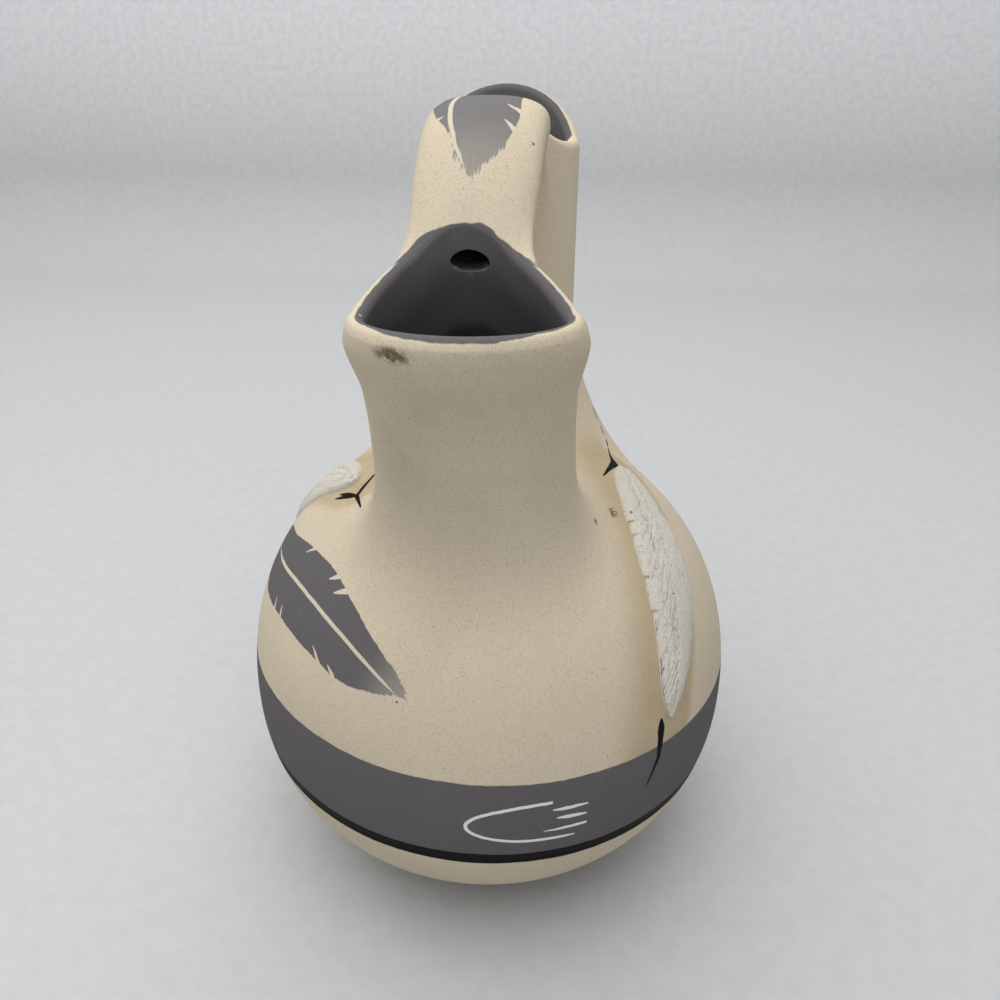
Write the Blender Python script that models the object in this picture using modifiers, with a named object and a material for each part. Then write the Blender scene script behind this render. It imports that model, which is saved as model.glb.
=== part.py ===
"""Wedding vase: a round pot with a low front spout, a tall back spout and a hollow strap between them.

The frame is in metres with +Z up. The origin is the middle of the resting face, the front spout
points to -Y and the back spout to +Y. The pieces are the formed clay elements that are luted
together, so each one is a body of its own with a narrow joint gap to its neighbours.
"""
import math
from dataclasses import dataclass

import bmesh
import bpy
from mathutils import Vector

# Pot, all outside sizes; the flat base cuts the lowest end off the round bowl, and the seam rises
# above the widest level to where the crown closes the shoulder
BODY_RADIUS = 0.075
LOWER_DEPTH = 0.064
LOWER_FULLNESS = 2.15
BASE_CUT = 0.004
UPPER_RISE = 0.0755
UPPER_FULLNESS = 2.15
BODY_WALL = 0.005
BASE_THICKNESS = 0.005
JOINT_GAP = 0.0003
SEAM_RISE = 0.044
WIDEST_LEVEL = LOWER_DEPTH - BASE_CUT
SEAM_LEVEL = WIDEST_LEVEL + SEAM_RISE
CROWN_LEVEL = WIDEST_LEVEL + UPPER_RISE

# Front spout: reaches are measured from the axis, rises from the level named with them
FRONT_ROOT_REACH = 0.030
FRONT_FOOT_HALF_WIDTH = 0.038
FRONT_WAIST_ABOVE_CROWN = 0.0165
FRONT_WAIST_REACH = 0.038
FRONT_WAIST_HALF_WIDTH = 0.0255
FRONT_WAIST_HALF_DEPTH = 0.019
FRONT_LIP_ABOVE_WAIST = 0.0343
FRONT_LIP_REACH = 0.050
FRONT_LIP_HALF_WIDTH = 0.0262
FRONT_LIP_OUTER_DEPTH = 0.023
FRONT_LIP_INNER_DEPTH = 0.029
FRONT_LIP_OUTER_RISE = 0.004
FRONT_LIP_INNER_RISE = 0.024
FRONT_LIP_INNER_POWER = 1.6

# Back spout
BACK_ROOT_REACH = 0.030
BACK_FOOT_HALF_WIDTH = 0.050
BACK_WAIST_ABOVE_CROWN = 0.0325
BACK_WAIST_REACH = 0.041
BACK_WAIST_HALF_WIDTH = 0.0234
BACK_WAIST_HALF_DEPTH = 0.018
BACK_LIP_ABOVE_WAIST = 0.0462
BACK_LIP_REACH = 0.052
BACK_LIP_HALF_WIDTH = 0.0236
BACK_LIP_OUTER_DEPTH = 0.0205
BACK_LIP_INNER_DEPTH = 0.0215
BACK_LIP_OUTER_RISE = 0.0143
BACK_LIP_INNER_RISE = 0.0120
BACK_LIP_INNER_POWER = 2.0

# Both spouts
SPOUT_WALL = 0.0045
FOOT_OUTER_DEPTH = 0.031
FOOT_EDGE = 0.0006
CROTCH_HALF_GAP = 0.0015
NECK_STRAIGHTNESS = 0.55
OUTER_RISE_POWER = 1.15
INNER_RISE_POWER = 2.0

# Strap handle: bites and runs are measured from the inner sides of the two rims
STRAP_ABOVE_BACK_LIP = 0.0005
STRAP_HALF_WIDTH = 0.0155
STRAP_THICKNESS = 0.013
STRAP_WALL = 0.0035
STRAP_FULLNESS = 2.5
STRAP_FRONT_BITE = 0.014
STRAP_FRONT_DROP = 0.0103
STRAP_BEND_RUN = 0.005
STRAP_CROWN_RUN = 0.029
STRAP_FALL_RUN = 0.0065
STRAP_BACK_BITE = 0.0095
STRAP_BACK_DROP = 0.0062
STRAP_HOLLOW_HALF_WIDTH = 0.0065

# Raised feathers: latitudes are measured up from the widest level, bearings from the front towards +X
FEATHER_TOP_LATITUDE = math.radians(60.9)
FEATHER_BEND_LATITUDE = math.radians(54.5)
FEATHER_TIP_LATITUDE = math.radians(9.1)
FEATHER_BEND_TURN = math.radians(39)
FEATHER_TIP_TURN = math.radians(52.7)
FEATHER_HALF_WIDTH = 0.0105
FEATHER_END_HALF_WIDTH = 0.0012
FEATHER_THICKNESS = 0.0024
FEATHER_EDGE = 0.0008
FEATHER_SLIMNESS = 0.65
RIGHT_FEATHER_BEARING = math.radians(98)
LEFT_FEATHER_BEARING = math.radians(-75)
RIGHT_FEATHER_TURN_RATIO = -1.0
LEFT_FEATHER_TURN_RATIO = -0.82

# Facets
TURN_STEPS = 56
PROFILE_STEPS = 10
SHOULDER_STEPS = 5
CROWN_STEPS = 7
BASE_STEPS = 3
SPOUT_SIDES = 40
FILLET_STEPS = 6
NECK_STEPS = 5
LIP_STEPS = 4
FOOT_STEPS = 4
STRAP_SIDES = 28
STRAP_STEPS = 16
FEATHER_LENGTH_STEPS = 20
FEATHER_WIDTH_STEPS = 8
MERGE_DISTANCE = 0.00001
SHARP_ANGLE = math.radians(50)

CREAM_CLAY = (0.52, 0.46, 0.36, 1.0)
CREAM_ROUGHNESS = 0.9
WHITE_CLAY = (0.60, 0.57, 0.50, 1.0)
WHITE_ROUGHNESS = 0.95


@dataclass(frozen=True)
class Spout:
    """The sizes of one spout; side is -1 for the front one and +1 for the back one."""

    name: str
    side: int
    root_reach: float
    foot_half_width: float
    waist_level: float
    waist_reach: float
    waist_half_width: float
    waist_half_depth: float
    lip_level: float
    lip_reach: float
    lip_half_width: float
    lip_outer_depth: float
    lip_inner_depth: float
    lip_outer_rise: float
    lip_inner_rise: float
    lip_inner_power: float

    @property
    def inner_rim(self):
        """Place along Y of the rim's side that faces the other spout."""
        return self.side * (self.lip_reach - self.lip_inner_depth)


FRONT_WAIST_LEVEL = CROWN_LEVEL + FRONT_WAIST_ABOVE_CROWN
FRONT_SPOUT = Spout(
    "front_spout", -1, FRONT_ROOT_REACH, FRONT_FOOT_HALF_WIDTH,
    FRONT_WAIST_LEVEL, FRONT_WAIST_REACH, FRONT_WAIST_HALF_WIDTH, FRONT_WAIST_HALF_DEPTH,
    FRONT_WAIST_LEVEL + FRONT_LIP_ABOVE_WAIST, FRONT_LIP_REACH, FRONT_LIP_HALF_WIDTH,
    FRONT_LIP_OUTER_DEPTH, FRONT_LIP_INNER_DEPTH,
    FRONT_LIP_OUTER_RISE, FRONT_LIP_INNER_RISE, FRONT_LIP_INNER_POWER)
BACK_WAIST_LEVEL = CROWN_LEVEL + BACK_WAIST_ABOVE_CROWN
BACK_SPOUT = Spout(
    "back_spout", 1, BACK_ROOT_REACH, BACK_FOOT_HALF_WIDTH,
    BACK_WAIST_LEVEL, BACK_WAIST_REACH, BACK_WAIST_HALF_WIDTH, BACK_WAIST_HALF_DEPTH,
    BACK_WAIST_LEVEL + BACK_LIP_ABOVE_WAIST, BACK_LIP_REACH, BACK_LIP_HALF_WIDTH,
    BACK_LIP_OUTER_DEPTH, BACK_LIP_INNER_DEPTH,
    BACK_LIP_OUTER_RISE, BACK_LIP_INNER_RISE, BACK_LIP_INNER_POWER)
STRAP_TOP_LEVEL = BACK_SPOUT.lip_level + BACK_LIP_OUTER_RISE + STRAP_ABOVE_BACK_LIP


def clear_scene():
    """Remove whatever the open file holds."""
    for item in list(bpy.data.objects):
        bpy.data.objects.remove(item, do_unlink=True)


def new_collection(name):
    """Make a collection in the scene."""
    collection = bpy.data.collections.new(name)
    bpy.context.scene.collection.children.link(collection)
    return collection


def clay(name, colour, roughness):
    """Make one matt clay material."""
    material = bpy.data.materials.new(name)
    material.use_nodes = True
    shader = material.node_tree.nodes["Principled BSDF"]
    shader.inputs["Base Color"].default_value = colour
    shader.inputs["Roughness"].default_value = roughness
    shader.inputs["Metallic"].default_value = 0.0
    material.diffuse_color = colour
    return material


def mesh_object(name, mesh, collection, material):
    """Wrap a mesh in an object with its material."""
    item = bpy.data.objects.new(name, mesh)
    item.data.materials.append(material)
    collection.objects.link(item)
    return item


def body_radius(level, grow=0.0):
    """Outside radius of the pot at a level, with the skin moved out by grow."""
    height = level - WIDEST_LEVEL
    reach, fullness = (UPPER_RISE, UPPER_FULLNESS) if height > 0 else (LOWER_DEPTH, LOWER_FULLNESS)
    share = min(abs(height) / (reach + grow), 1.0)
    return (BODY_RADIUS + grow) * (1.0 - share ** fullness) ** (1.0 / fullness)


def shoulder_level(radius, grow=0.0):
    """Level of the shoulder's outside at a distance from the axis, with the skin moved out by grow."""
    share = min(radius / (BODY_RADIUS + grow), 1.0)
    return WIDEST_LEVEL + (UPPER_RISE + grow) * (1.0 - share ** UPPER_FULLNESS) ** (1.0 / UPPER_FULLNESS)


def on_shoulder(x, y, grow):
    """Point of the moved-out shoulder above or below a point of the plan."""
    return Vector((x, y, shoulder_level(math.hypot(x, y), grow)))


def shoulder_normal(point):
    """Outward normal of the shoulder at a point on it."""
    across = math.hypot(point.x, point.y) / BODY_RADIUS
    up = max(point.z - WIDEST_LEVEL, 0.0) / UPPER_RISE
    slope_across = across ** (UPPER_FULLNESS - 1.0) / BODY_RADIUS
    slope_up = up ** (UPPER_FULLNESS - 1.0) / UPPER_RISE
    bearing = math.atan2(point.y, point.x)
    return Vector((slope_across * math.cos(bearing), slope_across * math.sin(bearing), slope_up)).normalized()


def arc_levels(start, end, pole, count):
    """Levels between two heights, closer together towards the pole of a curve."""
    first, last = (math.asin(max(-1.0, min(1.0, (level - WIDEST_LEVEL) / pole))) for level in (start, end))
    return [WIDEST_LEVEL + pole * math.sin(first + (last - first) * i / count) for i in range(count + 1)]


def turned(name, profile, collection, material):
    """Turn a closed half profile, given from its inner start to its outer end, about the axis."""
    mesh = bpy.data.meshes.new(name)
    edges = [(i, i + 1) for i in range(len(profile) - 1)]
    if profile[0][0] > 0.0:
        edges.append((len(profile) - 1, 0))
    mesh.from_pydata([(radius, 0.0, level) for radius, level in profile], edges, [])
    item = mesh_object(name, mesh, collection, material)
    screw = item.modifiers.new("turn", "SCREW")
    screw.axis = "Z"
    screw.steps = TURN_STEPS
    screw.render_steps = TURN_STEPS
    screw.use_merge_vertices = True
    screw.merge_threshold = MERGE_DISTANCE
    screw.use_smooth_shade = True
    return item


def base_disc(collection, material):
    """Flat bottom of the pot, whose edge follows the pot's outside."""
    levels = [BASE_THICKNESS * (1.0 - i / BASE_STEPS) for i in range(BASE_STEPS + 1)]
    profile = [(0.0, BASE_THICKNESS)]
    profile += [(body_radius(level), level) for level in levels]
    profile.append((0.0, 0.0))
    return turned("base_disc", profile, collection, material)


def lower_bowl(collection, material):
    """Wall of the pot from the base disc up to the widest level."""
    foot = BASE_THICKNESS + JOINT_GAP
    top = WIDEST_LEVEL - JOINT_GAP / 2.0
    levels = arc_levels(foot, top, LOWER_DEPTH, PROFILE_STEPS)
    inner = [(body_radius(level, -BODY_WALL), level) for level in levels]
    outer = [(body_radius(level), level) for level in reversed(levels)]
    return turned("lower_bowl", inner + outer, collection, material)


def upper_shoulder(collection, material):
    """Wall of the pot from the widest level up to the seam under the crown."""
    levels = arc_levels(WIDEST_LEVEL + JOINT_GAP / 2.0, SEAM_LEVEL - JOINT_GAP / 2.0, UPPER_RISE, SHOULDER_STEPS)
    inner = [(body_radius(level, -BODY_WALL), level) for level in levels]
    outer = [(body_radius(level), level) for level in reversed(levels)]
    return turned("upper_shoulder", inner + outer, collection, material)


def crown_dome(collection, material):
    """Dome that closes the pot above the seam, still without the holes under the spouts."""
    bottom = SEAM_LEVEL + JOINT_GAP / 2.0
    levels = arc_levels(bottom, CROWN_LEVEL, UPPER_RISE, CROWN_STEPS)
    outer = [(body_radius(level), level) for level in reversed(levels)]
    outer[0] = (0.0, CROWN_LEVEL)
    inner_crown = CROWN_LEVEL - BODY_WALL
    inner_levels = arc_levels(bottom, inner_crown, UPPER_RISE - BODY_WALL, CROWN_STEPS)
    inner = [(body_radius(level, -BODY_WALL), level) for level in inner_levels]
    inner[-1] = (0.0, inner_crown)
    return turned("crown_dome", outer + inner, collection, material)


def oval(angle, half_width, outer_depth, inner_depth, inner_power=2.0):
    """Point of an oval whose outer half is round and whose inner half may be more pointed."""
    across, along = math.cos(angle), math.sin(angle)
    if along >= 0.0:
        return half_width * across, outer_depth * along
    sharp = 2.0 / inner_power
    return (math.copysign(half_width * abs(across) ** sharp, across), -inner_depth * abs(along) ** sharp)


def in_plan(spout, reach, x, outward):
    """Turn a spout's own plan point into the vase's plan."""
    return x, spout.side * (reach + outward)


def spout_foot(spout, angle, grow):
    """Point of the spout's foot, at a distance above the shoulder."""
    inner_depth = spout.root_reach - CROTCH_HALF_GAP
    plan = oval(angle, spout.foot_half_width, FOOT_OUTER_DEPTH, inner_depth)
    return on_shoulder(*in_plan(spout, spout.root_reach, *plan), grow)


def spout_waist(spout, angle, inset=0.0):
    """Point of the spout's narrowest ring, moved in by inset."""
    depth = spout.waist_half_depth - inset
    plan = oval(angle, spout.waist_half_width - inset, depth, depth)
    return Vector((*in_plan(spout, spout.waist_reach, *plan), spout.waist_level))


def spout_lip(spout, angle, inset=0.0, drop=0.0):
    """Point of the rim, which dips at both sides and rises to the lip and to the strap."""
    plan = oval(angle, spout.lip_half_width - inset, spout.lip_outer_depth - inset,
                spout.lip_inner_depth - inset, spout.lip_inner_power)
    along = math.sin(angle)
    if along >= 0.0:
        rise = spout.lip_outer_rise * along ** OUTER_RISE_POWER
    else:
        rise = spout.lip_inner_rise * abs(along) ** INNER_RISE_POWER
    return Vector((*in_plan(spout, spout.lip_reach, *plan), spout.lip_level + rise - drop))


def spout_lean(spout):
    """Direction in which the neck leans at its waist."""
    return Vector((0.0, spout.side * (spout.lip_reach - spout.waist_reach),
                   spout.lip_level - spout.waist_level)).normalized()


def bezier(start, control, end, share):
    """Point of a quadratic curve."""
    rest = 1.0 - share
    return start * rest * rest + control * 2.0 * rest * share + end * share * share


def fillet_point(spout, angle, share):
    """Point of the curve that leaves the shoulder flat and reaches the waist along the neck."""
    foot = spout_foot(spout, angle, JOINT_GAP + FOOT_EDGE)
    waist = spout_waist(spout, angle)
    lean = spout_lean(spout)
    normal = shoulder_normal(foot)
    drop = (waist - foot).dot(normal) / lean.dot(normal)
    return bezier(foot, waist - lean * drop, waist, share)


def neck_point(spout, angle, share, inset, drop):
    """Point of the neck between the waist, at share 0, and the rim, at share 1."""
    waist = spout_waist(spout, angle, inset)
    lip = spout_lip(spout, angle, inset, drop)
    control = waist + spout_lean(spout) * (lip - waist).length * NECK_STRAIGHTNESS
    return bezier(waist, control, lip, share)


def bore_plan(spout, angle):
    """Plan point of the hole under the spout."""
    depth = spout.waist_half_depth - SPOUT_WALL
    plan = oval(angle, spout.waist_half_width - SPOUT_WALL, depth, depth)
    return in_plan(spout, spout.root_reach, *plan)


def ring(point_at, sides):
    """Points all round a ring."""
    return [point_at(2.0 * math.pi * i / sides) for i in range(sides)]


def loft(name, rings, closed, collection, material):
    """Skin a row of rings, either round to its first ring or capped at both ends."""
    shape = bmesh.new()
    rows = [[shape.verts.new(point) for point in row] for row in rings]
    pairs = list(zip(rows, rows[1:]))
    if closed:
        pairs.append((rows[-1], rows[0]))
    else:
        shape.faces.new(rows[0])
        shape.faces.new(rows[-1])
    for low, high in pairs:
        for i in range(len(low)):
            j = (i + 1) % len(low)
            shape.faces.new((low[i], low[j], high[j], high[i]))
    bmesh.ops.recalc_face_normals(shape, faces=shape.faces)
    mesh = bpy.data.meshes.new(name)
    shape.to_mesh(mesh)
    shape.free()
    mesh.shade_smooth()
    mesh.set_sharp_from_angle(angle=SHARP_ANGLE)
    return mesh_object(name, mesh, collection, material)


def spout_solid(spout, collection, material):
    """One spout: skin down to its foot, underside on the shoulder, bore up to the rim, round lip."""
    half = SPOUT_WALL / 2.0
    rings = []
    for i in range(LIP_STEPS + 1):
        turn = math.pi * (1.0 - i / LIP_STEPS)
        inset = half * (1.0 - math.cos(turn))
        drop = half * (1.0 - math.sin(turn))
        rings.append(ring(lambda a: spout_lip(spout, a, inset, drop), SPOUT_SIDES))
    for i in range(NECK_STEPS - 1, -1, -1):
        rings.append(ring(lambda a: neck_point(spout, a, i / NECK_STEPS, 0.0, half), SPOUT_SIDES))
    for i in range(FILLET_STEPS - 1, -1, -1):
        rings.append(ring(lambda a: fillet_point(spout, a, i / FILLET_STEPS), SPOUT_SIDES))
    for i in range(FOOT_STEPS + 1):
        share = i / FOOT_STEPS

        def underside(angle):
            foot = spout_foot(spout, angle, JOINT_GAP)
            bore_x, bore_y = bore_plan(spout, angle)
            return on_shoulder(foot.x + (bore_x - foot.x) * share, foot.y + (bore_y - foot.y) * share, JOINT_GAP)

        rings.append(ring(underside, SPOUT_SIDES))
    for i in range(NECK_STEPS):
        rings.append(ring(lambda a: neck_point(spout, a, i / NECK_STEPS, SPOUT_WALL, half), SPOUT_SIDES))
    return loft(spout.name, rings, True, collection, material)


def spout_core(spout, collection, material):
    """Filled spout with its joint gap, carried on above the rim, that trims the strap's end."""
    half = SPOUT_WALL / 2.0
    rings = []
    for i in range(NECK_STEPS + 1):
        rings.append(ring(lambda a: neck_point(spout, a, i / NECK_STEPS, -JOINT_GAP, half), SPOUT_SIDES))
    above = Vector((0.0, 0.0, STRAP_TOP_LEVEL))
    rings.append([point + above for point in rings[-1]])
    return loft(spout.name + "_core", rings, False, collection, material)


def crown_hole(spout, collection, material):
    """Upright prism that cuts the spout's bore through the crown."""
    levels = (WIDEST_LEVEL, spout.waist_level)
    rings = [ring(lambda a: Vector((*bore_plan(spout, a), level)), SPOUT_SIDES) for level in levels]
    return loft(spout.name + "_hole", rings, False, collection, material)


def strap_line(share):
    """Point and direction of the strap's middle line, from the front mouth to the back mouth."""
    level = STRAP_TOP_LEVEL - STRAP_THICKNESS / 2.0
    front, back = FRONT_SPOUT.inner_rim, BACK_SPOUT.inner_rim
    spring = Vector((0.0, front - STRAP_FRONT_BITE, FRONT_SPOUT.lip_level - STRAP_FRONT_DROP))
    bend = Vector((0.0, front + STRAP_BEND_RUN, level))
    crown = Vector((0.0, front + STRAP_CROWN_RUN, level))
    fall = Vector((0.0, back - STRAP_FALL_RUN, level))
    end = Vector((0.0, back + STRAP_BACK_BITE, BACK_SPOUT.lip_level - STRAP_BACK_DROP))
    rising = share < 0.5
    start, control, stop = (spring, bend, crown) if rising else (crown, fall, end)
    part = share * 2.0 if rising else share * 2.0 - 1.0
    direction = (control - start) * (1.0 - part) + (stop - control) * part
    return bezier(start, control, stop, part), direction.normalized()


def strap_ring(share, half_width, half_thickness):
    """Flattened oval across the strap's middle line."""
    point, direction = strap_line(share)
    across = Vector((1.0, 0.0, 0.0))
    upward = across.cross(direction)
    full = 2.0 / STRAP_FULLNESS

    def section(angle):
        side, top = math.cos(angle), math.sin(angle)
        x = math.copysign(abs(side) ** full, side) * half_width
        z = math.copysign(abs(top) ** full, top) * half_thickness
        return point + across * x + upward * z

    return ring(section, STRAP_SIDES)


def strap_tube(name, half_width, half_thickness, collection, material):
    """Filled tube along the strap's middle line."""
    rings = [strap_ring(i / STRAP_STEPS, half_width, half_thickness) for i in range(STRAP_STEPS + 1)]
    return loft(name, rings, False, collection, material)


def feather_path(bearing, turn, share):
    """Point of the feather's quill on the shoulder, from its top at share 0 to its tip at share 1."""
    top = Vector((bearing, FEATHER_TOP_LATITUDE))
    bend = Vector((bearing + turn * FEATHER_BEND_TURN, FEATHER_BEND_LATITUDE))
    tip = Vector((bearing + turn * FEATHER_TIP_TURN, FEATHER_TIP_LATITUDE))
    around, latitude = bezier(top, bend, tip, share)
    level = WIDEST_LEVEL + UPPER_RISE * math.sin(latitude)
    radius = body_radius(level)
    return Vector((radius * math.sin(around), -radius * math.cos(around), level))


def onto_shoulder(point):
    """Move a point near the shoulder straight towards the pot's middle until it lies on the skin."""
    across = math.hypot(point.x, point.y) / BODY_RADIUS
    up = (point.z - WIDEST_LEVEL) / UPPER_RISE
    scale = (across ** UPPER_FULLNESS + up ** UPPER_FULLNESS) ** (-1.0 / UPPER_FULLNESS)
    middle = Vector((0.0, 0.0, WIDEST_LEVEL))
    return middle + (point - middle) * scale


def raised_feather(name, bearing, turn, collection, material):
    """Leaf of clay that lies on the shoulder, thick along its quill and thin at its edges."""
    rows = []
    for i in range(FEATHER_LENGTH_STEPS + 1):
        share = i / FEATHER_LENGTH_STEPS
        quill = feather_path(bearing, turn, share)
        ahead = feather_path(bearing, turn, share + 1.0 / FEATHER_LENGTH_STEPS)
        sideways = shoulder_normal(quill).cross(ahead - quill).normalized()
        swell = math.sin(math.pi * share) ** FEATHER_SLIMNESS if 0.0 < share < 1.0 else 0.0
        half = FEATHER_END_HALF_WIDTH + (FEATHER_HALF_WIDTH - FEATHER_END_HALF_WIDTH) * swell
        across = []
        for j in range(FEATHER_WIDTH_STEPS + 1):
            side = 2.0 * j / FEATHER_WIDTH_STEPS - 1.0
            foot = onto_shoulder(quill + sideways * side * half)
            normal = shoulder_normal(foot)
            crown = FEATHER_EDGE + (FEATHER_THICKNESS - FEATHER_EDGE) * (1.0 - side * side)
            across.append((foot + normal * JOINT_GAP, foot + normal * (JOINT_GAP + crown)))
        rows.append([high for _, high in across] + [low for low, _ in reversed(across)])
    return loft(name, rows, False, collection, material)


def cut(item, cutter):
    """Take the cutter's shape out of an item."""
    boolean = item.modifiers.new(cutter.name, "BOOLEAN")
    boolean.operation = "DIFFERENCE"
    boolean.object = cutter
    cutter.hide_render = True
    cutter.display_type = "WIRE"


def main():
    """Model every piece of the vase."""
    clear_scene()
    parts = new_collection("wedding_vase")
    cutters = new_collection("cutters")
    cream = clay("cream_clay", CREAM_CLAY, CREAM_ROUGHNESS)
    white = clay("white_clay", WHITE_CLAY, WHITE_ROUGHNESS)

    base_disc(parts, cream)
    lower_bowl(parts, cream)
    upper_shoulder(parts, cream)
    crown = crown_dome(parts, cream)
    strap = strap_tube("strap_handle", STRAP_HALF_WIDTH, STRAP_THICKNESS / 2.0, parts, cream)
    hollow = strap_tube("strap_hollow", STRAP_HOLLOW_HALF_WIDTH, STRAP_THICKNESS / 2.0 - STRAP_WALL,
                        cutters, cream)
    for spout in (FRONT_SPOUT, BACK_SPOUT):
        solid = spout_solid(spout, parts, cream)
        cut(solid, hollow)
        cut(crown, crown_hole(spout, cutters, cream))
        cut(strap, spout_core(spout, cutters, cream))
    cut(strap, hollow)
    raised_feather("raised_feather_right", RIGHT_FEATHER_BEARING, RIGHT_FEATHER_TURN_RATIO, parts, white)
    raised_feather("raised_feather_left", LEFT_FEATHER_BEARING, LEFT_FEATHER_TURN_RATIO, parts, white)


main()
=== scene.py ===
"""Looks of a clay wedding vase: matt cream clay, grey and black slip, raised feathers."""

from __future__ import annotations

import logging
import math
from dataclasses import dataclass
from enum import Enum
from typing import Callable, Iterable, Mapping, Sequence, Union

import bmesh
import bpy
import numpy as np
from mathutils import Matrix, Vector


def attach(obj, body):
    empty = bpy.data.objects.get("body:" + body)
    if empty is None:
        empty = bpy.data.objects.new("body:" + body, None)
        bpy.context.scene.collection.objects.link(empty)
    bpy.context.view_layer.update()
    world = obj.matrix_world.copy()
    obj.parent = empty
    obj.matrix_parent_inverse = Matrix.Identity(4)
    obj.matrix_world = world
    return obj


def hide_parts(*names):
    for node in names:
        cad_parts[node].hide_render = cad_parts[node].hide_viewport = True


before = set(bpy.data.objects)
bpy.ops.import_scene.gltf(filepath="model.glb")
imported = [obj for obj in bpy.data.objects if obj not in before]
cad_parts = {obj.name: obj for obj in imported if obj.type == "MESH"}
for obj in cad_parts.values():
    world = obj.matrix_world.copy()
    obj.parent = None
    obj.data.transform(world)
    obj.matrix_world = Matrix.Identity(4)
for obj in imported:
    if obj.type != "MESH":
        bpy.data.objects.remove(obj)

logging.basicConfig(level=logging.INFO, format="%(message)s")
LOG = logging.getLogger("wedding_vase")

MM = 0.001
SHARP_EDGE = 50.0
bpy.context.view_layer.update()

Colour = tuple[float, float, float]
Rings = list[list[Vector]]
Layer = list[list[float]]
Points = np.ndarray


def smooth_step(value: float, low: float, high: float) -> float:
    """Ease a number from 0 to 1.

    Args:
        value: The number.
        low: Where the step starts.
        high: Where the step ends.

    Returns:
        0 below the step, 1 above it.
    """
    share = max(0.0, min(1.0, (value - low) / (high - low)))
    return share * share * (3.0 - 2.0 * share)


def bend(start: Vector, control: Vector, end: Vector, share: float) -> Vector:
    """Point of a quadratic curve.

    Args:
        start: First end.
        control: Point that pulls the curve.
        end: Other end.
        share: Place along the curve, 0 to 1.

    Returns:
        The point.
    """
    rest = 1.0 - share
    return start * rest * rest + control * 2.0 * rest * share + end * share * share


def bend_between(start: Vector, leave: Vector, arrive: Vector, end: Vector, share: float) -> Vector:
    """Point of a cubic curve.

    Args:
        start: First end.
        leave: Control point next to the first end.
        arrive: Control point next to the other end.
        end: Other end.
        share: Place along the curve, 0 to 1.

    Returns:
        The point.
    """
    rest = 1.0 - share
    return (start * rest ** 3 + leave * 3.0 * rest * rest * share
            + arrive * 3.0 * rest * share * share + end * share ** 3)


def oval(angle: float, half_width: float, outer_depth: float, inner_depth: float,
         inner_power: float = 2.0) -> tuple[float, float]:
    """Point of an oval whose outer half is round and whose inner half may be more pointed.

    Args:
        angle: Angle round the oval; a quarter turn is the outer end.
        half_width: Half of the oval's width.
        outer_depth: Depth of the outer half.
        inner_depth: Depth of the inner half.
        inner_power: Fullness of the inner half.

    Returns:
        Distance across and distance outward.
    """
    across, along = math.cos(angle), math.sin(angle)
    if along >= 0.0:
        return half_width * across, outer_depth * along
    sharp = 2.0 / inner_power
    return math.copysign(half_width * abs(across) ** sharp, across), -inner_depth * abs(along) ** sharp


def full_turn(count: int) -> list[float]:
    """Angles of so many equal steps round a ring."""
    return [2.0 * math.pi * i / count for i in range(count)]


def link(name: str, data: bpy.types.ID) -> bpy.types.Object:
    """Put a mesh, lamp or camera into the scene as a named object."""
    item = bpy.data.objects.new(name, data)
    bpy.context.scene.collection.objects.link(item)
    return item


# ---------------------------------------------------------------------------------------------- shape


@dataclass(frozen=True)
class Pot:
    """Sizes of the round pot and the places on its skin."""

    radius: float = 75.0 * MM
    lower_depth: float = 64.0 * MM
    upper_rise: float = 75.5 * MM
    base_cut: float = 4.0 * MM
    fullness: float = 2.15
    wall: float = 5.0 * MM
    base_thickness: float = 5.15 * MM
    seam_rise: float = 44.0 * MM

    @property
    def widest(self) -> float:
        """Level of the widest ring."""
        return self.lower_depth - self.base_cut

    @property
    def seam(self) -> float:
        """Level at which the crown closes the shoulder."""
        return self.widest + self.seam_rise

    def radius_at(self, level: float, grow: float = 0.0) -> float:
        """Radius of the skin at a level, with the skin moved out by grow."""
        reach = self.upper_rise if level > self.widest else self.lower_depth
        share = min(abs(level - self.widest) / (reach + grow), 1.0)
        return (self.radius + grow) * (1.0 - share ** self.fullness) ** (1.0 / self.fullness)

    def level_at(self, radius: float, grow: float = 0.0) -> float:
        """Level of the dome at a distance from the axis, with the skin moved out by grow."""
        share = min(radius / (self.radius + grow), 1.0)
        rise = self.upper_rise + grow
        return self.widest + rise * (1.0 - share ** self.fullness) ** (1.0 / self.fullness)

    def above(self, x: float, y: float, grow: float = 0.0) -> Vector:
        """Point of the dome over a point of the plan."""
        return Vector((x, y, self.level_at(math.hypot(x, y), grow)))

    def at(self, bearing: float, level: float) -> Vector:
        """Point of the skin at a bearing from the front towards +X and a level."""
        radius = self.radius_at(level)
        return Vector((radius * math.sin(bearing), -radius * math.cos(bearing), level))

    def normal(self, point: Vector) -> Vector:
        """Outward normal of the skin at a point on it."""
        reach = self.upper_rise if point.z > self.widest else self.lower_depth
        across = math.hypot(point.x, point.y) / self.radius
        up = (point.z - self.widest) / reach
        slope = across ** (self.fullness - 1.0) / self.radius
        rise = math.copysign(abs(up) ** (self.fullness - 1.0) / reach, up)
        turn = math.atan2(point.y, point.x)
        return Vector((slope * math.cos(turn), slope * math.sin(turn), rise)).normalized()

    def onto(self, point: Vector) -> Vector:
        """Bring a point onto the dome along its line to the middle of the pot."""
        middle = Vector((0.0, 0.0, self.widest))
        away = point - middle
        across = math.hypot(away.x, away.y) / self.radius
        up = max(away.z, 0.0) / self.upper_rise
        return middle + away / (across ** self.fullness + up ** self.fullness) ** (1.0 / self.fullness)


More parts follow.
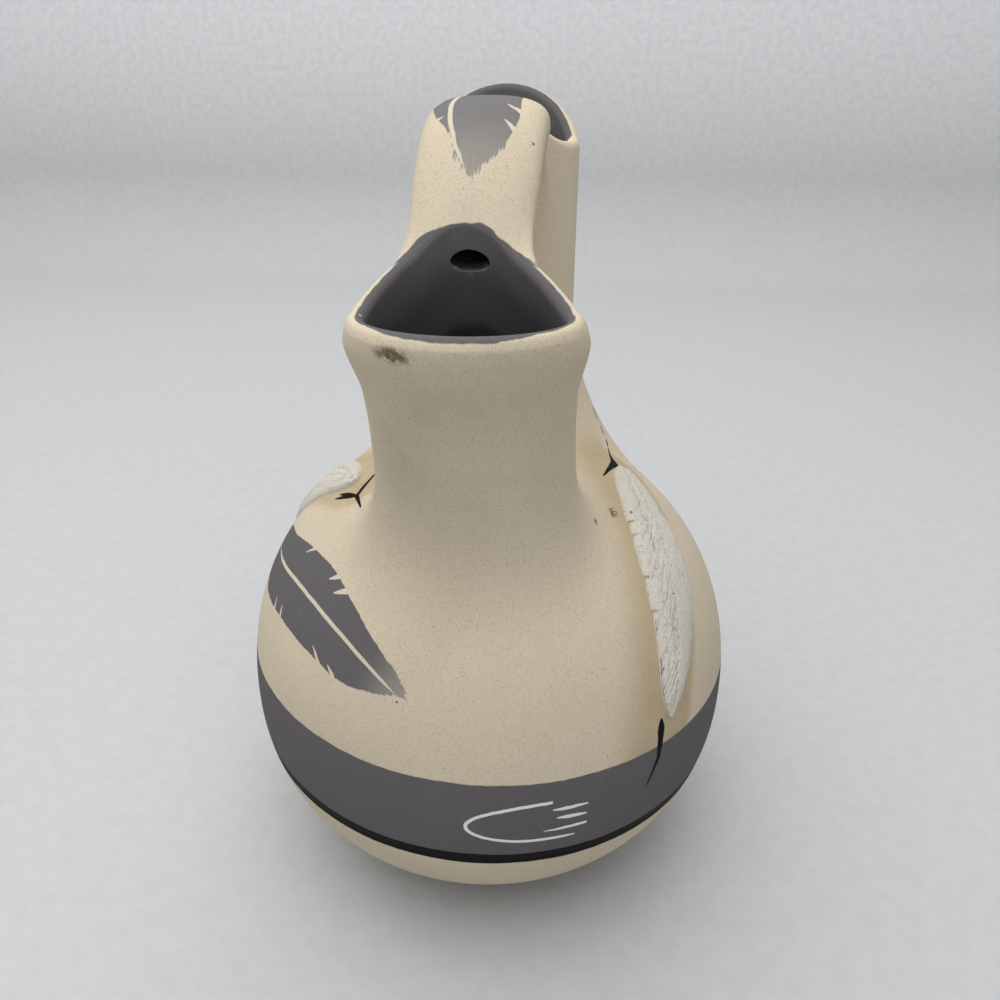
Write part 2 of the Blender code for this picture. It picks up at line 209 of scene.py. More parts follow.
@dataclass(frozen=True)
class Spout:
    """Sizes of one spout; side is -1 for the front one and +1 for the back one."""

    name: str
    side: int
    pot: Pot
    root_reach: float
    foot_half_width: float
    waist_level: float
    waist_reach: float
    waist_half_width: float
    waist_half_depth: float
    lip_level: float
    lip_reach: float
    lip_half_width: float
    lip_outer_depth: float
    lip_inner_depth: float
    lip_outer_rise: float
    lip_inner_rise: float
    lip_inner_power: float
    wall: float = 4.5 * MM
    foot_outer_depth: float = 31.0 * MM
    foot_edge: float = 0.04 * MM
    crotch_half_gap: float = 1.5 * MM
    straightness: float = 0.55
    dip: float = 0.15
    inner_rise_power: float = 2.0
    inner_peak: float = 0.0
    peak_start: float = 0.80
    skew: float = 0.0
    skew_power: float = 0.8
    outer_drop: float = 2.6 * MM
    collar: float = 0.0
    collar_rise: tuple[float, float] = (1.2, 6.5)
    collar_fall: tuple[float, float] = (7.0, 18.0)
    collar_span: tuple[float, float] = (-0.45, 0.05)
    hollow: float = 0.3
    hollow_rise: tuple[float, float] = (14.0, 20.0)
    hollow_fall: tuple[float, float] = (26.0, 40.0)

    def place(self, reach: float, x: float, outward: float) -> tuple[float, float]:
        """Turn a point of the spout's own plan into the vase's plan."""
        return x, self.side * (reach + outward)

    def foot(self, angle: float, grow: float) -> Vector:
        """Point of the foot's edge, at a distance above the dome."""
        inner_depth = self.root_reach - self.crotch_half_gap
        plan = oval(angle, self.foot_half_width, self.foot_outer_depth, inner_depth)
        return self.pot.above(*self.place(self.root_reach, *plan), grow)

    def waist(self, angle: float, inset: float = 0.0) -> Vector:
        """Point of the narrowest ring, moved in by inset."""
        depth = self.waist_half_depth - inset
        plan = oval(angle, self.waist_half_width - inset, depth, depth)
        return Vector((*self.place(self.waist_reach, *plan), self.waist_level))

    def lip(self, angle: float, inset: float = 0.0, drop: float = 0.0) -> Vector:
        """Point of the rim, which dips at both sides and rises to the lip and to the strap."""
        plan = oval(angle, self.lip_half_width - inset, self.lip_outer_depth - inset,
                    self.lip_inner_depth - inset, self.lip_inner_power)
        along = math.sin(angle)
        soft = (math.hypot(along, self.dip) - self.dip) / (math.hypot(1.0, self.dip) - self.dip)
        if along >= 0.0:
            rise, shift = self.lip_outer_rise * soft, 0.0
        else:
            rise = (self.lip_inner_rise * soft ** self.inner_rise_power
                    + self.inner_peak * smooth_step(-along, self.peak_start, 1.0))
            shift = self.skew * soft ** self.skew_power
        x, y = self.place(self.lip_reach, *plan)
        return Vector((x + shift, y, self.lip_level + rise - drop))

    @property
    def lean(self) -> Vector:
        """Direction in which the neck leans at its waist."""
        return Vector((0.0, self.side * (self.lip_reach - self.waist_reach),
                       self.lip_level - self.waist_level)).normalized()

    def fillet(self, angle: float, share: float) -> Vector:
        """Point of the curve that leaves the dome flat and reaches the waist along the neck."""
        foot, waist = self.foot(angle, self.foot_edge), self.waist(angle)
        normal = self.pot.normal(foot)
        drop = (waist - foot).dot(normal) / self.lean.dot(normal)
        return bend(foot, waist - self.lean * drop, waist, share)

    def neck(self, angle: float, share: float, inset: float) -> Vector:
        """Point of the neck between the waist, at share 0, and the rounded rim, at share 1."""
        waist = self.waist(angle, inset)
        lip = self.lip(angle, inset, self.wall / 2.0 if inset else self.outer_drop)
        point = bend(waist, waist + self.lean * (lip - waist).length * self.straightness, lip, share)
        return point if inset else point + self.swell(angle, lip.z + self.outer_drop - point.z)

    def swell(self, angle: float, depth: float) -> Vector:
        """How far the rolled collar, or the hollow under it, stands out at a depth below the rim's crest."""
        deep = depth / MM
        amount = smooth_step(deep, *self.collar_rise) * (1.0 - smooth_step(deep, *self.collar_fall))
        hollow = smooth_step(deep, *self.hollow_rise) * (1.0 - smooth_step(deep, *self.hollow_fall))
        amount -= self.hollow * hollow
        amount *= self.collar * smooth_step(math.sin(angle), *self.collar_span)
        return Vector((math.cos(angle), self.side * math.sin(angle), 0.0)) * amount

    def bore(self, angle: float, spare: float = 0.0) -> tuple[float, float]:
        """Plan point of the hole under the spout, widened by spare."""
        depth = self.waist_half_depth - self.wall + spare
        plan = oval(angle, self.waist_half_width - self.wall + spare, depth, depth)
        return self.place(self.root_reach, *plan)

    def skin(self, angle: float, run: float) -> Vector:
        """Point of the wall at a distance from the rim's crest, outside below 0 and inside above 0."""
        half = self.wall / 2.0
        quarter = half * math.pi / 2.0
        if abs(run) <= quarter:
            turn = run / half
            fall = (half if run > 0.0 else self.outer_drop) * (1.0 - math.cos(turn))
            point = self.lip(angle, half * (1.0 + math.sin(turn)), fall)
            return point if run > 0.0 else point + self.swell(angle, fall) * -math.sin(turn)
        inset = self.wall if run > 0.0 else 0.0
        length = (self.lip(angle, inset, half) - self.waist(angle, inset)).length
        return self.neck(angle, 1.0 - (abs(run) - quarter) / length, inset)

    def skin_normal(self, angle: float, run: float) -> Vector:
        """Normal of the wall, worked out from close neighbours."""
        step = 0.2 * MM
        turn = math.radians(0.5)
        along = self.skin(angle, run + step) - self.skin(angle, run - step)
        round_it = self.skin(angle + turn, run) - self.skin(angle - turn, run)
        return along.cross(round_it).normalized()


@dataclass(frozen=True)
class Root:
    """Print of one end of the strap on a spout's wall, and the strap's ring where its flare starts."""

    share: float
    lean: float
    middle_run: float
    upper_run: float
    lower_run: float
    upper_power: float
    half_turn: float
    ease: float

    def run_at(self, angle: float) -> float:
        """Distance of the print from the crest of the rim at an angle round the strap."""
        up = math.sin(angle)
        if up > 0.0:
            return self.middle_run + self.upper_run * up ** self.upper_power
        return self.middle_run + self.lower_run * up

    def share_at(self, angle: float) -> float:
        """Place along the strap where the flare starts at an angle round it."""
        return self.share + self.lean * math.sin(angle)


@dataclass(frozen=True)
class Strap:
    """Sizes of the strap between the spouts; points of its line are (Y, Z)."""

    spring: tuple[float, float] = (-35.0 * MM, 176.0 * MM)
    bend: tuple[float, float] = (-16.0 * MM, 222.5 * MM)
    crown: tuple[float, float] = (8.0 * MM, 222.5 * MM)
    fall: tuple[float, float] = (24.0 * MM, 222.5 * MM)
    end: tuple[float, float] = (40.0 * MM, 208.0 * MM)
    half_width: float = 15.5 * MM
    thickness: float = 13.0 * MM
    fullness: float = 2.5
    skew: float = -1.3 * MM
    skew_span: tuple[float, float] = (0.15, 0.5)
    front: Root = Root(share=0.2625, lean=-0.0475, middle_run=-4.0 * MM, upper_run=6.2 * MM,
                       lower_run=21.0 * MM, upper_power=0.4, half_turn=math.radians(48), ease=0.42)
    back: Root = Root(share=0.66, lean=0.0, middle_run=-17.0 * MM, upper_run=14.0 * MM,
                      lower_run=14.0 * MM, upper_power=1.0, half_turn=math.radians(46), ease=0.42)

    def line(self, share: float) -> Vector:
        """Point of the strap's middle line, at 0.5 on the crown."""
        if share <= 0.5:
            points, local = (self.spring, self.bend, self.crown), share * 2.0
        else:
            points, local = (self.crown, self.fall, self.end), share * 2.0 - 1.0
        return bend(*(Vector((0.0, *point)) for point in points), local) + Vector(
            (self.skew * (1.0 - smooth_step(share, *self.skew_span)), 0.0, 0.0))

    def direction(self, share: float) -> Vector:
        """Direction of the middle line from the front to the back."""
        step = 0.004
        return (self.line(share + step) - self.line(share - step)).normalized()

    def ring_point(self, share: float, angle: float) -> Vector:
        """Point of the strap's skin; a quarter turn is its upper face."""
        sharp = 2.0 / self.fullness
        across = math.copysign(abs(math.cos(angle)) ** sharp, math.cos(angle)) * self.half_width
        upward = math.copysign(abs(math.sin(angle)) ** sharp, math.sin(angle)) * self.thickness / 2.0
        side = Vector((1.0, 0.0, 0.0))
        return self.line(share) + side * across + side.cross(self.direction(share)) * upward

    def tape(self) -> "Tape":
        """Tape along the middle line from the back spout to the front mouth, with -X to its left."""
        stations = []
        first, step, count = 0.8, 0.01, 61
        for i in range(count):
            share = first - i * step
            up = Vector((1.0, 0.0, 0.0)).cross(self.direction(share))
            stations.append((self.line(share), Vector((-1.0, 0.0, 0.0)), up))
        return Tape(stations)


@dataclass(frozen=True)
class Quill:
    """Line of a feather over the dome, in bearings from the front and angles up from the widest level."""

    pot: Pot
    start: tuple[float, float]
    control: tuple[float, float]
    end: tuple[float, float]

    def point(self, share: float) -> Vector:
        """Point of the line on the skin."""
        bearing, rise = bend(*(Vector((math.radians(a), math.radians(b), 0.0))
                               for a, b in (self.start, self.control, self.end)), share).xy
        return self.pot.at(bearing, self.pot.widest + self.pot.upper_rise * math.sin(rise))

    def frame(self, share: float) -> tuple[Vector, Vector, Vector]:
        """Point, sideways direction and outward normal at a place along the line."""
        step = 0.002
        here = self.point(share)
        along = (self.point(share + step) - self.point(share - step)).normalized()
        normal = self.pot.normal(here)
        return here, normal.cross(along).normalized(), normal

    def tape(self, steps: int = 120) -> "Tape":
        """Tape along the line."""
        return Tape([self.frame(i / steps) for i in range(steps + 1)])


POT = Pot()
FRONT = Spout(
    name="front_spout", side=-1, pot=POT, root_reach=30.0 * MM, foot_half_width=38.0 * MM,
    waist_level=152.0 * MM, waist_reach=38.0 * MM, waist_half_width=25.5 * MM, waist_half_depth=19.0 * MM,
    lip_level=189.0 * MM, lip_reach=50.0 * MM, lip_half_width=26.6 * MM, lip_outer_depth=23.0 * MM,
    lip_inner_depth=26.1 * MM, lip_outer_rise=1.3 * MM, lip_inner_rise=13.3 * MM, lip_inner_power=1.65,
    inner_rise_power=1.6, inner_peak=2.8 * MM, skew=-2.4 * MM, collar=1.3 * MM)
BACK = Spout(
    name="back_spout", side=1, pot=POT, root_reach=30.0 * MM, foot_half_width=50.0 * MM,
    waist_level=168.0 * MM, waist_reach=41.0 * MM, waist_half_width=23.4 * MM, waist_half_depth=18.0 * MM,
    lip_level=214.2 * MM, lip_reach=52.0 * MM, lip_half_width=23.6 * MM, lip_outer_depth=20.5 * MM,
    lip_inner_depth=21.5 * MM, lip_outer_rise=14.3 * MM, lip_inner_rise=12.0 * MM, lip_inner_power=2.0,
    inner_rise_power=4.0)
STRAP = Strap()


# -------------------------------------------------------------------------------------------- meshes


class Skin:
    """Rings of points that become one closed mesh, with numbers kept on its points."""

    def __init__(self, name: str) -> None:
        """Start an empty skin.

        Args:
            name: Name of the object and its mesh.
        """
        self.name = name
        self.rings: Rings = []
        self.layers: dict[str, Layer] = {}

    def add(self, points: Sequence[Vector], **numbers: Sequence[float]) -> None:
        """Add one ring.

        Args:
            points: Points of the ring.
            **numbers: One number a point for each named layer.
        """
        self.rings.append(list(points))
        for key, row in numbers.items():
            self.layers.setdefault(key, []).append(list(row))

    def mesh(self, looped: bool, sharp: float = SHARP_EDGE) -> bpy.types.Object:
        """Skin the rings.

        Args:
            looped: Join the last ring to the first; otherwise both ends are capped.
            sharp: Angle in degrees above which an edge stays sharp.

        Returns:
            The object, linked to the scene.
        """
        count = len(self.rings[0])
        points = [point for row in self.rings for point in row]
        faces = []
        pairs = [(i, i + 1) for i in range(len(self.rings) - 1)]
        if looped:
            pairs.append((len(self.rings) - 1, 0))
        for low, high in pairs:
            for i in range(count):
                j = (i + 1) % count
                faces.append((low * count + i, low * count + j, high * count + j, high * count + i))
        ends = []
        if not looped:
            for ring in (0, len(self.rings) - 1):
                ends.append(len(points))
                points.append(sum(self.rings[ring], Vector()) / count)
                first = ring * count
                faces += [(first + i, first + (i + 1) % count, ends[-1]) for i in range(count)]
        shape = bpy.data.meshes.new(self.name)
        shape.from_pydata(points, [], faces)
        for key, rows in self.layers.items():
            flat = [number for row in rows for number in row]
            flat += [rows[0][0], rows[-1][0]][:len(ends)]
            shape.attributes.new(key, "FLOAT", "POINT").data.foreach_set("value", flat)
        return place_mesh(self.name, shape, sharp)


def place_mesh(name: str, shape: bpy.types.Mesh, sharp: float) -> bpy.types.Object:
    """Turn a mesh's faces outward, shade it and link its object to the scene.

    Args:
        name: Name of the object.
        shape: The mesh.
        sharp: Angle in degrees above which an edge stays sharp.

    Returns:
        The object.
    """
    work = bmesh.new()
    work.from_mesh(shape)
    bmesh.ops.recalc_face_normals(work, faces=work.faces)
    work.to_mesh(shape)
    work.free()
    shape.shade_smooth()
    shape.set_sharp_from_angle(angle=math.radians(sharp))
    return link(name, shape)


def cut(item: bpy.types.Object, tools: Iterable[bpy.types.Object]) -> None:
    """Cut closed tools out of a closed piece and remove them.

    Args:
        item: The piece.
        tools: What is taken away from it.
    """
    for tool in tools:
        boolean = item.modifiers.new("cut", "BOOLEAN")
        boolean.operation = "DIFFERENCE"
        boolean.solver = "EXACT"
        boolean.object = tool
    settle(item)
    item.data.set_sharp_from_angle(angle=math.radians(SHARP_EDGE))
    for tool in tools:
        bpy.data.objects.remove(tool, do_unlink=True)


def settle(item: bpy.types.Object) -> None:
    """Make a piece's modified shape its own mesh.

    Args:
        item: The piece; it keeps no modifier.
    """
    bpy.context.view_layer.update()
    graph = bpy.context.evaluated_depsgraph_get()
    shape = bpy.data.meshes.new_from_object(item.evaluated_get(graph))
    item.modifiers.clear()
    old = item.data
    item.data = shape
    shape.name = item.name
    bpy.data.meshes.remove(old)


def number_layers(item: bpy.types.Object, rule: Callable[[Points, Points], Mapping[str, Points]]) -> None:
    """Keep numbers on the points of a piece, worked out from their places and normals.

    Args:
        item: The piece.
        rule: Gives the named layers for an array of places and one of normals.
    """
    places, normals = (np.empty(len(item.data.vertices) * 3, np.float32) for _ in range(2))
    item.data.vertices.foreach_get("co", places)
    item.data.vertices.foreach_get("normal", normals)
    for key, numbers in rule(places.reshape(-1, 3), normals.reshape(-1, 3)).items():
        layer = item.data.attributes.get(key) or item.data.attributes.new(key, "FLOAT", "POINT")
        layer.data.foreach_set("value", numbers.astype(np.float32))


class Tape:
    """Measures places along and across a line of stations."""

    def __init__(self, stations: Sequence[tuple[Vector, Vector, Vector]]) -> None:
        """Lay the tape.

        Args:
            stations: Point, sideways direction and outward normal at each station.
        """
        self.places = np.array([here for here, _, _ in stations], np.float32)
        self.sides = np.array([side for _, side, _ in stations], np.float32)
        self.normals = np.array([normal for _, _, normal in stations], np.float32)
        self.alongs = np.gradient(self.places, axis=0)
        self.alongs /= np.linalg.norm(self.alongs, axis=1)[:, None]
        steps = np.linalg.norm(np.diff(self.places, axis=0), axis=1)
        self.runs = np.concatenate(([0.0], np.cumsum(steps)))

    @property
    def length(self) -> float:
        """Length of the line."""
        return float(self.runs[-1])

    def measure(self, points: Points) -> tuple[Points, Points, Points]:
        """Distances along, across and above the line, in mm."""
        gaps = ((points[:, None, :] - self.places[None, :, :]) ** 2).sum(axis=2)
        best = gaps.argmin(axis=1)
        offset = points - self.places[best]
        along = self.runs[best] + (offset * self.alongs[best]).sum(axis=1)
        across = (offset * self.sides[best]).sum(axis=1)
        above = (offset * self.normals[best]).sum(axis=1)
        return along / MM, across / MM, above / MM

    def near(self, points: Points) -> Points:
        """Distance of places from the line, in mm."""
        gaps = ((points[:, None, :] - self.places[None, :, :]) ** 2).sum(axis=2)
        return np.sqrt(gaps.min(axis=1)) / MM


# ----------------------------------------------------------------------------------------- materials

Number = Union[float, "Value"]


class Value:
    """A number on its way through a material; sums and products on it add Math nodes."""

    def __init__(self, shade: "Shade", socket: bpy.types.NodeSocket) -> None:
        """Hold one output socket.

        Args:
            shade: The material that it belongs to.
            socket: Where the number comes out.
        """
        self.shade = shade
        self.socket = socket

    def math(self, operation: str, *others: Number) -> "Value":
        """Pass the number through a Math node.

        Args:
            operation: The node's operation.
            *others: Its other inputs.

        Returns:
            The result.
        """
        inputs = dict(enumerate((self, *others)))
        return self.shade.value("ShaderNodeMath", {"operation": operation}, inputs)

    def __add__(self, other: Number) -> "Value":
        """Sum with another number."""
        return self.math("ADD", other)

    __radd__ = __add__

    def __sub__(self, other: Number) -> "Value":
        """Difference from another number."""
        return self.math("SUBTRACT", other)

    def __rsub__(self, other: Number) -> "Value":
        """Difference of a plain number from this one."""
        return (self * -1.0) + other

    def __mul__(self, other: Number) -> "Value":
        """Product with another number."""
        return self.math("MULTIPLY", other)

    __rmul__ = __mul__

    def __truediv__(self, other: Number) -> "Value":
        """Quotient by another number."""
        return self.math("DIVIDE", other)

    def __abs__(self) -> "Value":
        """Size without the sign."""
        return self.math("ABSOLUTE")

    def root(self) -> "Value":
        """Square root."""
        return self.math("SQRT")

    def least(self, other: Number) -> "Value":
        """The smaller of two numbers."""
        return self.math("MINIMUM", other)

    def most(self, other: Number) -> "Value":
        """The larger of two numbers."""
        return self.math("MAXIMUM", other)

    def clamp(self) -> "Value":
        """Keep the number between 0 and 1."""
        settings = {"operation": "ADD", "use_clamp": True}
        return self.shade.value("ShaderNodeMath", settings, {0: self, 1: 0.0})

    def scaled(self, factor: Number, offset: Number) -> "Value":
        """The number times a factor, plus an offset."""
        return self.math("MULTIPLY_ADD", factor, offset)

    def step(self, low: Number, high: Number) -> "Value":
        """Ease the number from 0 at low to 1 at high."""
        return self.shade.value("ShaderNodeMapRange", {"interpolation_type": "SMOOTHSTEP"},
                                {"Value": self, "From Min": low, "From Max": high})

    def edge(self, soft: float = 0.12) -> "Value":
        """1 above 0 and 0 below it, with a soft edge."""
        return self.step(-soft, soft)

    def curve(self, stops: Sequence[tuple[float, float]]) -> "Value":
        """Read the number off a smooth ramp of (place, height) stops."""
        return self.shade.value("ShaderNodeValToRGB", {"stops": stops}, {"Fac": self})


class Shade:
    """One material under construction."""

    def __init__(self, name: str) -> None:
        """Start a material from a Principled surface.

        Args:
            name: Name of the material.
        """
        self.material = bpy.data.materials.new(name)
        self.material.use_nodes = True
        self.tree = self.material.node_tree
        self.surface = self.tree.nodes["Principled BSDF"]

    def node(self, kind: str, settings: Mapping[str, object] | None = None,
             inputs: Mapping[Union[str, int], object] | None = None) -> bpy.types.Node:
        """Add one node.

        Args:
            kind: The node's type.
            settings: Its settings, set before its inputs; "stops" fills a ramp.
            inputs: Numbers, colours, sockets or Values for its input sockets.

        Returns:
            The node.
        """
        made = self.tree.nodes.new(kind)
        for key, setting in (settings or {}).items():
            if key == "stops":
                self.fill_ramp(made.color_ramp, setting)
            else:
                setattr(made, key, setting)
        for key, content in (inputs or {}).items():
            self.feed(made.inputs[key], content)
        return made

    def feed(self, socket: bpy.types.NodeSocket, content: object) -> None:
        """Link or set one input socket."""
        if isinstance(content, Value):
            self.tree.links.new(content.socket, socket)
        elif isinstance(content, bpy.types.NodeSocket):
            self.tree.links.new(content, socket)
        elif socket.type == "RGBA":
            socket.default_value = (*content, 1.0)
        else:
            socket.default_value = content

    def value(self, kind: str, settings: Mapping[str, object] | None = None,
              inputs: Mapping[Union[str, int], object] | None = None, output: Union[str, int] = 0) -> Value:
        """Add one node and take a number from it."""
        return Value(self, self.node(kind, settings, inputs).outputs[output])

    @staticmethod
    def fill_ramp(ramp: bpy.types.ColorRamp, stops: Sequence[tuple[float, float]]) -> None:
        """Give a ramp its grey stops."""
        ramp.interpolation = "CARDINAL"
        while len(ramp.elements) < len(stops):
            ramp.elements.new(1.0)
        for element, (place, height) in zip(ramp.elements, stops):
            element.position = place
            element.color = (height, height, height, 1.0)

    def vector(self, operation: str, *inputs: object, output: int = 0) -> bpy.types.NodeSocket:
        """Pass vectors through a Vector Math node."""
        made = self.node("ShaderNodeVectorMath", {"operation": operation}, dict(enumerate(inputs)))
        return made.outputs[output]

    def scalar(self, operation: str, *inputs: object) -> Value:
        """Pass vectors through a Vector Math node that gives out a number."""
        return Value(self, self.vector(operation, *inputs, output=1))

    def scaled(self, vector: object, factor: Number) -> bpy.types.NodeSocket:
        """Scale a vector."""
        inputs = {0: vector, "Scale": factor}
        return self.node("ShaderNodeVectorMath", {"operation": "SCALE"}, inputs).outputs[0]

    def joined(self, *parts: Number) -> bpy.types.NodeSocket:
        """Join numbers into a vector."""
        return self.node("ShaderNodeCombineXYZ", None, dict(enumerate(parts))).outputs[0]

    def mix(self, share: Number, under: object, over: object) -> bpy.types.NodeSocket:
        """Lay one colour over another.

        Args:
            share: How much of the upper colour shows.
            under: Lower colour or socket.
            over: Upper colour or socket.

        Returns:
            Socket of the mixed colour.
        """
        settings = {"data_type": "RGBA", "blend_type": "MIX", "clamp_factor": True}
        return self.node("ShaderNodeMix", settings, {0: share, 6: under, 7: over}).outputs[2]


@dataclass(frozen=True)
class Finish:
    """Colour and roughness of one slip or clay."""

    colour: Colour
    roughness: float


class Slip(Enum):
    """Finishes that are painted, rubbed or scratched onto the clay; the black one also lays painted shade
    deep in the mouths, and the dirt one a painted shade over the front neck.
    """

    CHARCOAL = Finish((0.122, 0.115, 0.118), 0.85)
    SMOKE = Finish((0.150, 0.146, 0.150), 0.85)
    BLACK = Finish((0.0035, 0.003, 0.004), 0.70)
    BARE = Finish((0.640, 0.590, 0.490), 0.95)
    CHALK = Finish((0.800, 0.775, 0.715), 0.95)
    OCHRE = Finish((0.400, 0.300, 0.165), 0.95)
    DIRT_AND_SHADE = Finish((0.110, 0.082, 0.052), 0.95)


@dataclass(frozen=True)
class Body:
    """Clay under the paint: two tones, specks and grain; lengths in mm."""

    light: Colour
    deep: Colour
    speck: Colour
    roughness: float
    speck_size: float
    speck_share: float
    grain: float
    pits: float


CREAM = Body(light=(0.640, 0.555, 0.425), deep=(0.520, 0.445, 0.330), speck=(0.120, 0.090, 0.060),
             roughness=0.93, speck_size=0.30, speck_share=0.10, grain=0.10, pits=0.0)
WHITE = Body(light=(0.660, 0.625, 0.560), deep=(0.470, 0.440, 0.390), speck=(0.110, 0.100, 0.090),
             roughness=0.96, speck_size=0.34, speck_share=0.22, grain=0.16, pits=0.20)


class Coat:
    """The surface of one piece, built up from clay to paint; lengths in mm."""

    def __init__(self, name: str, body: Body) -> None:
        """Start with bare clay.

        Args:
            name: Name of the material.
            body: The clay.
        """
        self.shade = Shade(name)
        self.body = body
        place = self.shade.node("ShaderNodeTexCoord").outputs["Object"]
        self.place = self.shade.scaled(place, 1.0 / MM)
        split = self.shade.node("ShaderNodeSeparateXYZ", None, {0: self.place})
        self.x, self.y, self.z = (Value(self.shade, split.outputs[i]) for i in range(3))
        self.height: Number = 0.0
        self.colour: object = body.light
        self.roughness: Number = body.roughness
        self.clay()

    def noise(self, size: float, detail: float = 2.0, shift: float = 0.0,
              stretch: object = None) -> Value:
        """Noise of about the given feature size, from 0 to 1."""
        settings = {"noise_dimensions": "4D"}
        inputs = {"Vector": stretch or self.place, "W": shift, "Scale": 1.0 / size, "Detail": detail,
                  "Roughness": 0.55}
        return self.shade.value("ShaderNodeTexNoise", settings, inputs)

    def wander(self, size: float, amount: float, shift: float = 0.0) -> Value:
        """Noise that swings about 0 by the given amount."""
        return (self.noise(size, shift=shift) - 0.5) * (2.0 * amount)

    def specks(self, spacing: float, size: float, share: float, shift: float) -> Value:
        """Scattered round grains: one cell in so many holds one."""
        moved = self.shade.vector("ADD", self.place, (shift,) * 3)
        cells = self.shade.node("ShaderNodeTexVoronoi", {"feature": "F1"},
                                {"Vector": moved, "Scale": 1.0 / spacing})
        distance = Value(self.shade, cells.outputs["Distance"])
        pick = self.shade.node("ShaderNodeSeparateColor", None, {0: cells.outputs["Color"]})
        chosen = Value(self.shade, pick.outputs[0]).step(1.0 - share, 1.0 - share + 0.02)
        scale = Value(self.shade, pick.outputs[1]) * 0.7 + 0.5
        gap = distance * spacing - scale * size
        return (gap * -1.0).step(-0.10, 0.08) * chosen

    def clay(self) -> None:
        """Tone, grain and specks of the bare clay."""
        body = self.body
        cloud = self.noise(size=55.0, detail=3.0).step(0.35, 0.68)
        self.colour = self.shade.mix(cloud * 0.40, body.light, body.deep)
        grain = self.noise(size=0.42, detail=3.0, shift=2.0)
        self.colour = self.shade.mix(grain.step(0.47, 0.68) * 0.22, self.colour, body.speck)
        size, share = body.speck_size, body.speck_share
        fine = self.specks(spacing=1.4, size=size * 0.60, share=share * 2.4, shift=3.0)
        coarse = self.specks(spacing=6.0, size=size * 1.25, share=share * 1.4, shift=11.0)
        dots = (fine * 0.46 + coarse * 0.75).least(0.85)
        self.colour = self.shade.mix(dots, self.colour, body.speck)
        lumps = self.noise(size=6.0, shift=5.0)
        self.height = grain * body.grain + lumps * (body.grain * 0.8) - coarse * 0.08
        if body.pits:
            pits = self.noise(size=1.1, detail=4.0, shift=9.0).step(0.55, 0.72)
            self.height = self.height - pits * body.pits
            self.colour = self.shade.mix(pits * 0.30, self.colour, body.deep)

    def number(self, key: str) -> Value:
        """Number kept on the piece's points."""
        return self.shade.value("ShaderNodeAttribute", {"attribute_name": key}, None, "Fac")

    def cover(self, share: Value, slip: Slip, hold: float = 1.0, film: float = 0.03) -> None:
        """Lay a slip over what is there.

        Args:
            share: Where it lies, from 0 to 1.
            slip: Which slip.
            hold: How much it hides.
            film: Thickness of its film in mm.
        """
        finish = slip.value
        broad, fine = self.noise(size=9.0, detail=3.0, shift=21.0), self.noise(size=1.3, shift=23.0)
        thin = broad * 0.14 + fine * 0.14 + 0.87
        amount = (share * thin * hold).least(1.0)
        self.colour = self.shade.mix(amount, self.colour, finish.colour)
        if isinstance(self.roughness, float):
            self.roughness = share * (finish.roughness - self.roughness) + self.roughness
        else:
            self.roughness = self.roughness + share * (finish.roughness - self.body.roughness)
        if film:
            self.height = self.height + share * film

    def rub(self, share: Value, slip: Slip) -> None:
        """Tint what is there without a film; this lays stains and wear, and also painted shade."""
        self.colour = self.shade.mix(share, self.colour, slip.value.colour)

    def close(self) -> bpy.types.Material:
        """Feed the surface.

        Returns:
            The finished material.
        """
        bump = self.shade.node("ShaderNodeBump", None,
                               {"Height": self.height, "Distance": MM, "Strength": 0.85})
        self.shade.feed(self.shade.surface.inputs["Base Color"], self.colour)
        self.shade.feed(self.shade.surface.inputs["Roughness"], self.roughness)
        self.shade.feed(self.shade.surface.inputs["Normal"], bump.outputs["Normal"])
        self.shade.surface.inputs["Specular IOR Level"].default_value = 0.10
        return self.shade.material


@dataclass(frozen=True)
class Stripe:
    """A band round the pot, between two levels in mm, which leans a little to one side."""

    low: float
    high: float
    slip: Slip
    lean: float = 0.039
    wobble: float = 0.8
    hold: float = 1.0

    def lay(self, coat: Coat) -> None:
        """Paint the stripe."""
        level = coat.z + coat.x * self.lean
        under = level + coat.wander(26.0, self.wobble, self.low) + coat.wander(3.0, 0.25, self.low + 1.0)
        over = level + coat.wander(30.0, self.wobble, self.high) + coat.wander(3.0, 0.25, self.high + 1.0)
        above_low = under.step(self.low - 0.18, self.low + 0.18)
        inside = above_low * (1.0 - over.step(self.high - 0.2, self.high + 0.2))
        coat.cover(inside, self.slip, self.hold)


@dataclass(frozen=True)
class Stroke:
    """One brush stroke between two plane points, with a width at its start, middle and end, in mm."""

    start: tuple[float, float]
    end: tuple[float, float]
    widths: tuple[float, float, float]

    def share(self, shade: Shade, place: bpy.types.NodeSocket) -> Value:
        """Where the stroke lies, for the socket that holds the two plane coordinates."""
        run = Vector((self.end[0] - self.start[0], self.end[1] - self.start[1], 0.0))
        offset = shade.vector("SUBTRACT", place, (*self.start, 0.0))
        along = shade.scalar("DOT_PRODUCT", offset, tuple(run / run.length_squared)).clamp()
        gap = shade.scalar("DISTANCE", offset, shade.scaled(tuple(run), along))
        first, middle, last = (width / 2.0 for width in self.widths)
        bow = 4.0 * middle - 2.0 * first - 2.0 * last
        half = along.scaled(-bow, last - first + bow).scaled(along, first)
        return (half - gap).edge()


